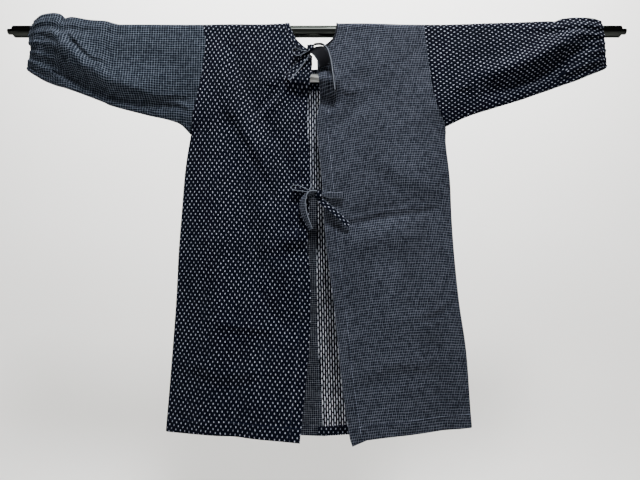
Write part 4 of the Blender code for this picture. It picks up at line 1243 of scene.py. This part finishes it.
BINDING_LAP = 0.0020
BINDING_THICKNESS = 0.0025
BINDING_LIFT = 0.0006
CROWN_DROP = 0.0006
for which, slot, finish, line, side, outward, shows in (
    ("left", "dot_kasuri", dot_kasuri, near_left_neck, -1, 1, BINDING_WIDTH),
    ("right", "navy_cotton", navy_cotton, near_right_neck, -1, -1, right_binding_width),
    ("back", "dot_kasuri", dot_kasuri, far_neck, 1, 1, BINDING_WIDTH),
):
    width = shows + BINDING_LAP
    lines = []
    for reach in (width / 2, width):
        moved = beside(line, outward * reach)
        drop = np.maximum(moved[:, 1], CROWN_DROP)
        lines.append(lifted(moved[:, 0], drop, side, BINDING_LIFT))
    centres, edges = lines
    name = which + "_neck_binding"
    strip = flat_tube(name, centres, edges - centres, width, BINDING_THICKNESS, finish, sewn=1)
    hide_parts("neck_binding_" + which)


# Inside the back
# A shaped facing of dotted cotton backs the neckline, with a bare satin label sewn on below the
# middle, and a strip of the dotted cotton faces the hem of the right back.

FACING_WALL = 0.0009
SOLID_FACING_WALL = 0.0012
CLOTH_GAP = 0.0003
FACING_LIFT = -(SOLID_WALL / 2 + CLOTH_GAP + SOLID_FACING_WALL / 2)
FACING_ROW_SET_IN = 0.0015
NECK_FACING_WIDTH = 0.044
NECK_FACING_TOP_DROP = 0.045
BESIDE_BINDING = 0.002


def lay_facing(name, flat, from_edge):
    """Dotted cotton on the inside of the back, for the solid of the same name, sewn along an edge."""
    places = lifted(flat[..., 0], flat[..., 1], 1, FACING_LIFT)
    row = ("X", from_edge - FACING_ROW_SET_IN)
    piece = lay_cloth(name + "_cloth", places, flat, dot_kasuri, FACING_WALL, sewn=[row])
    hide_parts(name)
    return piece


facing_line = far_neck[far_neck[:, 1] > NECK_FACING_TOP_DROP]
spans = np.linspace(BINDING_WIDTH + BESIDE_BINDING, BINDING_WIDTH + NECK_FACING_WIDTH, 15)
flat = np.stack([beside(facing_line, span) for span in spans], axis=1)
neck_facing = lay_facing("neck_facing", flat, spans[-1] - spans)

# The label is sewn at its top and foot and buckles between them, in waves that run askew. Painted
# light and shade follow the same waves in its colour.
SOLID_LABEL_WALL = 0.0010
LABEL_WALL = 0.0006
LABEL_LIFT = -(SOLID_WALL / 2 + CLOTH_GAP + SOLID_FACING_WALL + CLOTH_GAP + SOLID_LABEL_WALL / 2)
LABEL_LEFT = -0.0235
LABEL_WIDTH = 0.034
LABEL_TOP_DROP = 0.115
LABEL_HEIGHT = 0.019
BUCKLE_PAINTED_SHADE_DARKEST = 0.48
SATIN_DARK = (0.88, 0.89, 0.87, 1)
SATIN_PALE = (0.99, 0.99, 0.97, 1)
FLOATS_PER_METRE = (5200, 400, 1)
BUCKLE_HEIGHT = 0.0034
BUCKLES_DOWN = 1.45
BUCKLES_PER_METRE_ACROSS = -10
buckle_down = 2 * math.pi * BUCKLES_DOWN / LABEL_HEIGHT
buckle_across = 2 * math.pi * BUCKLES_PER_METRE_ACROSS
buckle_start = -(buckle_down * LABEL_TOP_DROP + buckle_across * LABEL_LEFT)
label_x, label_drop = np.meshgrid(
    np.linspace(LABEL_LEFT, LABEL_LEFT + LABEL_WIDTH, 28),
    np.linspace(LABEL_TOP_DROP, LABEL_TOP_DROP + LABEL_HEIGHT, 18),
)
flat = np.stack([label_x, label_drop], axis=-1)
satin, tree, shader = new_finish("bare satin")
place = put(tree, "UVMap").outputs[0]
floats = work_place(tree, "MULTIPLY", place, FLOATS_PER_METRE)
tint = blend(tree, noise(tree, floats, 1.0, 2.0, 0.5), SATIN_DARK, SATIN_PALE)
parts = put(tree, "SeparateXYZ", place).outputs
across_it = work(tree, "MULTIPLY_ADD", parts["X"], buckle_across, buckle_start)
wave = work(tree, "SINE", work(tree, "MULTIPLY_ADD", parts["Y"], buckle_down, across_it))
# Painted shade and painted highlight that follow the buckles
painted_buckle_light_and_shade = spread(tree, wave, -0.9, 0.3, BUCKLE_PAINTED_SHADE_DARKEST, 1.0)
tree.links.new(shaded(tree, tint, painted_buckle_light_and_shade), shader.inputs["Base Color"])
shader.inputs["Roughness"].default_value = 0.32
shader.inputs["Sheen Weight"].default_value = 0.2
label_places = lifted(label_x, label_drop, 1, LABEL_LIFT)
label_down = (label_drop - LABEL_TOP_DROP) / LABEL_HEIGHT
buckled = 0.5 - 0.5 * np.cos(buckle_down * label_drop + buckle_across * label_x + buckle_start)
label_places[..., 1] -= BUCKLE_HEIGHT * buckled * np.abs(np.sin(math.pi * label_down)) ** 0.35
label = lay_cloth("label", label_places, flat, satin, LABEL_WALL)
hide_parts("neck_label")

HEM_FACING_WIDTH = 0.020
HEM_FACING_PAST_SEAM = 0.012
HEM_FACING_END = 0.262
ABOVE_HEM = 0.0008
across, up = np.meshgrid(np.linspace(0, 1, 70), np.linspace(HEM_FACING_WIDTH, ABOVE_HEM, 8))
facing_x = mix(BACK_SEAM[-1][1] - HEM_FACING_PAST_SEAM, HEM_FACING_END, across)
right_hem = np.array([BACK_SEAM[-1], RIGHT_EDGE[-1]])
left_hem = np.array([LEFT_EDGE[-1], BACK_SEAM[-1]])
hem_drop = np.where(
    facing_x > BACK_SEAM[-1][1],
    np.interp(facing_x, right_hem[:, 1], right_hem[:, 0]),
    np.interp(facing_x, left_hem[:, 1], left_hem[:, 0]),
)
flat = np.stack([facing_x, hem_drop - up], axis=-1)
hem_facing = lay_facing("hem_facing", flat, HEM_FACING_WIDTH - up)


# The upper bow
# The bindings' long ends are tied in a bow at the neck: the dotted one ends in the left loop and a
# broad left tail, the navy one in the right loop and a tail that hangs edge on. The dotted one is
# wrapped round the knot.

def ribbon(name, rows, finish, axis=(0, 1, 0), thickness=0.0016, worn=0.6, rims=(1, 1)):
    """A tie's loop, tail or run. Columns: x, y, z, width, turn, which is 0 edge on and 90 flat on.

    Wear and highlight is how pale its rims are painted, partly as wear and partly as painted highlight,
    all along or for each row.
    """
    keyed = np.column_stack([np.arange(len(rows)), np.array(rows, float), np.broadcast_to(worn, len(rows))])
    stations = np.linspace(0, len(rows) - 1, 10 * (len(rows) - 1) + 1)
    centres = np.column_stack([read(keyed, stations, column) for column in (1, 2, 3)])
    run = unit(np.gradient(centres, axis=0))
    flat_on = unit(np.cross(run, np.array(axis, float)))
    edge_on = unit(np.cross(flat_on, run))
    turn = np.radians(read(keyed, stations, 5))[:, None]
    across = edge_on * np.cos(turn) + flat_on * np.sin(turn)
    worn = np.maximum(read(keyed, stations, 6), 0)[:, None]
    return flat_tube(name, centres, across, read(keyed, stations, 4), thickness, finish, worn, rims)


ROUNDNESS = 0.45
CREASE_SHARE = 0.14


def knot(which, centre, size):
    """The pulled-tight middle of a bow: a rounded dotted block, pinched where the strips cross it."""
    bpy.ops.object.select_all(action="DESELECT")
    bpy.ops.mesh.primitive_cube_add(size=1)
    piece = bpy.context.object
    piece.name = which + "_knot_cloth"
    bpy.ops.object.mode_set(mode="EDIT")
    bpy.ops.mesh.select_all(action="SELECT")
    bpy.ops.mesh.subdivide(number_cuts=11)
    bpy.ops.object.mode_set(mode="OBJECT")
    co = np.array([v.co for v in piece.data.vertices])
    ball = unit(co) * 0.5
    shape = np.clip(mix(co, ball * 1.25, ROUNDNESS), -0.5, 0.5)
    diagonal = shape[:, 0] * 0.8 + shape[:, 2] * 0.6
    crease = np.exp(-((diagonal - 0.10) / 0.09) ** 2) + 0.8 * np.exp(-((diagonal + 0.24) / 0.08) ** 2)
    shape = shape * (1 - CREASE_SHARE * crease)[:, None]
    places = shape * np.array(size) + np.array(centre)
    piece.data.vertices.foreach_set("co", places.astype(np.float32).ravel())
    x, y, z = places.T
    lay_flat(piece, np.column_stack([x + y * 0.7, z + y * 0.3]))
    piece.data.materials.append(dot_kasuri)
    bpy.ops.object.shade_smooth()
    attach(piece, "root")
    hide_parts(which + "_tie_knot")


# Columns: x, y, z, width, turn
UPPER_LEFT_LOOP = (
    (-0.0200, -0.0275, -0.0572, 0.010, -25),
    (-0.0290, -0.0290, -0.0590, 0.013, -25),
    (-0.0370, -0.0295, -0.0572, 0.015, -18),
    (-0.0440, -0.0295, -0.0553, 0.015, -10),
    (-0.0500, -0.0295, -0.0572, 0.015, 0),
    (-0.0520, -0.0295, -0.0612, 0.015, 10),
    (-0.0485, -0.0295, -0.0670, 0.015, 20),
    (-0.0420, -0.0295, -0.0698, 0.015, 25),
    (-0.0340, -0.0292, -0.0672, 0.014, 27),
    (-0.0250, -0.0282, -0.0622, 0.012, 27),
    (-0.0195, -0.0275, -0.0593, 0.010, 25),
)
UPPER_RIGHT_LOOP = (
    (-0.0135, -0.0300, -0.0590, 0.010, 0),
    (-0.0055, -0.0325, -0.0605, 0.024, 0),
    (0.0045, -0.0360, -0.0640, 0.032, 0),
    (0.0110, -0.0375, -0.0715, 0.033, 0),
    (0.0143, -0.0370, -0.0800, 0.031, 0),
    (0.0155, -0.0345, -0.0880, 0.028, 0),
    (0.0155, -0.0310, -0.0940, 0.026, 0),
    (0.0150, -0.0282, -0.0880, 0.024, 0),
    (0.0125, -0.0270, -0.0790, 0.022, 0),
    (0.0070, -0.0265, -0.0710, 0.020, 0),
    (-0.0010, -0.0265, -0.0640, 0.016, 0),
    (-0.0090, -0.0268, -0.0595, 0.011, 0),
)
UPPER_LEFT_TAIL = (
    (-0.0180, -0.0250, -0.0590, 0.012, 82),
    (-0.0235, -0.0246, -0.0662, 0.015, 96),
    (-0.0308, -0.0250, -0.0768, 0.017, 106),
    (-0.0388, -0.0255, -0.0880, 0.018, 108),
    (-0.0472, -0.0260, -0.0994, 0.018, 108),
    (-0.0560, -0.0266, -0.1104, 0.018, 108),
    (-0.0652, -0.0272, -0.1208, 0.018, 106),
)
UPPER_RIGHT_TAIL = (
    (-0.0080, -0.0300, -0.0482, 0.012, 17),
    (-0.0045, -0.0300, -0.0452, 0.014, 17),
    (0.0040, -0.0300, -0.0440, 0.016, 18),
    (0.0130, -0.0303, -0.0455, 0.017, 18),
    (0.0200, -0.0308, -0.0520, 0.018, 14),
    (0.0248, -0.0311, -0.0600, 0.019, 9),
    (0.0302, -0.0312, -0.0782, 0.020, 7),
    (0.0340, -0.0312, -0.1000, 0.020, 7),
    (0.0364, -0.0312, -0.1196, 0.020, 8),
    (0.0403, -0.0312, -0.1500, 0.020, 9),
)


def tie_strip(name, rows, finish, slot, **shape):
    """A strip of a bow, which stands for the solid of the same name."""
    strip = ribbon(name + "_cloth", rows, finish, **shape)
    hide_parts(name)


knot("upper", (-0.0140, -0.0272, -0.0535), (0.0150, 0.0150, 0.0140))
# The pale rims of these strips are partly wear and partly painted highlight on the edges that face the
# light
tie_strip("upper_tie_left_loop", UPPER_LEFT_LOOP, dot_kasuri, "dot_kasuri", worn=1.1)
tie_strip("upper_tie_left_tail", UPPER_LEFT_TAIL, dot_kasuri, "dot_kasuri", worn=2.4, rims=(1, 0.25))
tie_strip(
    "upper_tie_right_loop",
    UPPER_RIGHT_LOOP,
    navy_cotton,
    "navy_cotton",
    axis=(0.85, 0, 0.53),
    worn=0.4,
)
tie_strip(
    "upper_tie_right_tail",
    UPPER_RIGHT_TAIL,
    navy_cotton,
    "navy_cotton",
    thickness=0.0038,
    worn=(0, 0, 0, 0.2, 1.0, 1.3, 1.3, 1.3, 1.3, 1.3),
)


# The lower bow
# Two more ties, sewn to the front edges at the chest: a checked one from the left edge, and a
# dotted one from the right, which is wrapped round the knot. The checked left tail curls down and
# shows its dark inner side.

# Columns: x, y, z, width, turn
LOWER_LEFT_RUN = (
    (-0.0185, -0.0254, -0.3800, 0.013, 90),
    (-0.0130, -0.0262, -0.3790, 0.012, 88),
    (-0.0060, -0.0300, -0.3770, 0.010, 80),
)
LOWER_RIGHT_RUN = (
    (0.0200, -0.0256, -0.3800, 0.013, 90),
    (0.0145, -0.0264, -0.3790, 0.012, 88),
    (0.0090, -0.0300, -0.3775, 0.010, 80),
)
LOWER_LEFT_LOOP = (
    (-0.0050, -0.0360, -0.3705, 0.010, 0),
    (-0.0170, -0.0350, -0.3675, 0.013, -8),
    (-0.0255, -0.0345, -0.3640, 0.014, -8),
    (-0.0330, -0.0345, -0.3605, 0.015, -6),
    (-0.0410, -0.0345, -0.3585, 0.015, -3),
    (-0.0490, -0.0345, -0.3592, 0.015, 0),
    (-0.0530, -0.0345, -0.3630, 0.015, 6),
    (-0.0500, -0.0345, -0.3664, 0.015, 10),
    (-0.0410, -0.0345, -0.3686, 0.015, 11),
    (-0.0290, -0.0348, -0.3703, 0.014, 11),
    (-0.0160, -0.0350, -0.3722, 0.012, 12),
    (-0.0050, -0.0360, -0.3735, 0.010, 12),
)
LOWER_RIGHT_LOOP = (
    (0.0093, -0.0385, -0.3768, 0.0100, 0),
    (0.0200, -0.0372, -0.3778, 0.0120, 0),
    (0.0360, -0.0362, -0.3786, 0.0135, 0),
    (0.0480, -0.0358, -0.3790, 0.0135, 0),
    (0.0540, -0.0335, -0.3790, 0.0135, 0),
    (0.0545, -0.0305, -0.3790, 0.0135, 0),
    (0.0490, -0.0280, -0.3788, 0.0135, 0),
    (0.0360, -0.0276, -0.3784, 0.0135, 0),
    (0.0230, -0.0292, -0.3774, 0.0120, 0),
    (0.0093, -0.0345, -0.3763, 0.0090, 0),
)
LOWER_LEFT_TAIL = (
    (0.0000, -0.0430, -0.3738, 0.0140, 197),
    (-0.0070, -0.0440, -0.3734, 0.0150, 196),
    (-0.0145, -0.0450, -0.3738, 0.0155, 188),
    (-0.0205, -0.0458, -0.3775, 0.0155, 168),
    (-0.0250, -0.0460, -0.3835, 0.0155, 140),
    (-0.0287, -0.0455, -0.3925, 0.0155, 120),
    (-0.0292, -0.0440, -0.4040, 0.0165, 113),
    (-0.0270, -0.0420, -0.4160, 0.0155, 112),
    (-0.0232, -0.0395, -0.4275, 0.0135, 112),
    (-0.0180, -0.0370, -0.4395, 0.0115, 112),
    (-0.0128, -0.0355, -0.4515, 0.0105, 112),
)
LOWER_RIGHT_TAIL = (
    (0.0050, -0.0350, -0.3850, 0.012, 66),
    (0.0120, -0.0352, -0.3935, 0.015, 72),
    (0.0215, -0.0355, -0.4015, 0.016, 72),
    (0.0313, -0.0355, -0.4095, 0.016, 70),
    (0.0433, -0.0355, -0.4200, 0.015, 68),
    (0.0553, -0.0355, -0.4310, 0.014, 66),
    (0.0690, -0.0355, -0.4440, 0.012, 64),
)
knot("lower", (0.0030, -0.0350, -0.3760), (0.0150, 0.0135, 0.0180))
# The pale rims of these strips are partly wear and partly painted highlight on the edges that face the
# light
tie_strip("lower_tie_left_run", LOWER_LEFT_RUN, slub_check, "slub_check")
tie_strip("lower_tie_right_run", LOWER_RIGHT_RUN, dot_kasuri, "dot_kasuri")
tie_strip("lower_tie_left_loop", LOWER_LEFT_LOOP, dot_kasuri, "dot_kasuri", worn=1.6)
tie_strip("lower_tie_right_loop", LOWER_RIGHT_LOOP, slub_check, "slub_check", axis=(0, 0, 1))
tie_strip(
    "lower_tie_left_tail",
    LOWER_LEFT_TAIL,
    slub_check,
    "slub_check",
    thickness=0.0022,
    worn=2.6,
    rims=(1, 0.2),
)
tie_strip("lower_tie_right_tail", LOWER_RIGHT_TAIL, dot_kasuri, "dot_kasuri", worn=0.9, rims=(1, 0.1))


# The studio
# A plain pale wall that curves into a plain pale floor. Three soft ceiling lights hang in front of
# the coat, the strongest to the right, a fourth washes the wall, and a weak one is at the viewer.

FLOOR_LEVEL = -1.55
FLOOR_START = -6.0
WALL_DEPTH = 0.75
WALL_TOP = 3.5
CURVE_RADIUS = 0.5
CURVE_STARTS = 0.4
CURVE_ENDS = 0.6
HALF_WIDTH = 5.0
WALL_ROWS = 40
bpy.ops.object.select_all(action="DESELECT")
bpy.ops.mesh.primitive_grid_add(x_subdivisions=2, y_subdivisions=WALL_ROWS, size=1)
backdrop = bpy.context.object
backdrop.name = "backdrop"
way = np.linspace(0, 1, WALL_ROWS + 1)
bend = np.clip((way - CURVE_STARTS) / (CURVE_ENDS - CURVE_STARTS), 0, 1) * math.pi / 2
floor_y = mix(FLOOR_START, WALL_DEPTH - CURVE_RADIUS, way / CURVE_STARTS)
curve_y = WALL_DEPTH - CURVE_RADIUS + CURVE_RADIUS * np.sin(bend)
y = np.where(way < CURVE_STARTS, floor_y, curve_y)
wall_z = mix(FLOOR_LEVEL + CURVE_RADIUS, WALL_TOP, (way - CURVE_ENDS) / (1 - CURVE_ENDS))
curve_z = FLOOR_LEVEL + CURVE_RADIUS * (1 - np.cos(bend))
z = np.where(way > CURVE_ENDS, wall_z, curve_z)
x = np.array([-HALF_WIDTH, 0.0, HALF_WIDTH])
sweep = np.stack(np.broadcast_arrays(x[None], y[:, None], z[:, None]), axis=-1)
backdrop.data.vertices.foreach_set("co", sweep.astype(np.float32).ravel())
bpy.ops.object.shade_smooth()
wall_paint, tree, shader = new_finish("pale wall")
shader.inputs["Base Color"].default_value = (0.88, 0.87, 0.845, 1)
shader.inputs["Roughness"].default_value = 0.9
# Seen from behind the wall lets the coat show through
facing_away = put(tree, "NewGeometry").outputs["Backfacing"]
tree.links.new(work(tree, "SUBTRACT", 1.0, facing_away), shader.inputs["Alpha"])
backdrop.data.materials.append(wall_paint)


def soft_light(name, place, aim, size, power):
    """A rectangular area light, turned towards what it is aimed at."""
    lamp = bpy.data.lights.new(name, "AREA")
    lamp.shape = "RECTANGLE"
    lamp.size, lamp.size_y = size
    lamp.energy = power
    lamp_object = bpy.data.objects.new(name, lamp)
    bpy.context.scene.collection.objects.link(lamp_object)
    lamp_object.location = place
    lamp_object.rotation_mode = "QUATERNION"
    lamp_object.rotation_quaternion = (Vector(aim) - Vector(place)).to_track_quat("-Z", "Y")


CHEST = (0.0, 0.0, -0.35)
soft_light("main ceiling light", (0.45, -1.7, 2.1), CHEST, (0.6, 0.45), 146)
soft_light("far ceiling light", (-0.9, -1.3, 2.5), CHEST, (0.7, 0.5), 20)
soft_light("front ceiling light", (0.0, -0.95, 0.70), CHEST, (0.5, 0.35), 12)
soft_light("wall light", (0.0, -0.2, 1.1), (0.0, 0.75, 0.1), (2.4, 0.3), 75)
soft_light("viewer side light", (-0.3, -2.6, -0.1), (0.0, 0.0, -0.45), (2.0, 1.6), 5)
ROOM_LIGHT = 0.13
world = bpy.data.worlds.new("soft room light")
world.use_nodes = True
world.node_tree.nodes["Background"].inputs[0].default_value = (1.0, 0.99, 0.97, 1)
world.node_tree.nodes["Background"].inputs[1].default_value = ROOM_LIGHT
bpy.context.scene.world = world

# The photo's camera: its focal length and the picture's width are in pixels
FOCAL_PIXELS = 481
PICTURE_PIXELS = 640
SENSOR_WIDTH = 36
PITCH_UP = 5.1
camera_data = bpy.data.cameras.new("camera")
camera_data.sensor_width = SENSOR_WIDTH
camera_data.lens = FOCAL_PIXELS / PICTURE_PIXELS * SENSOR_WIDTH
camera = bpy.data.objects.new("camera", camera_data)
bpy.context.scene.collection.objects.link(camera)
camera.location = (0.0068, -1.0363, -0.563)
camera.rotation_euler = (math.radians(90 + PITCH_UP), 0, 0)
bpy.context.scene.camera = camera
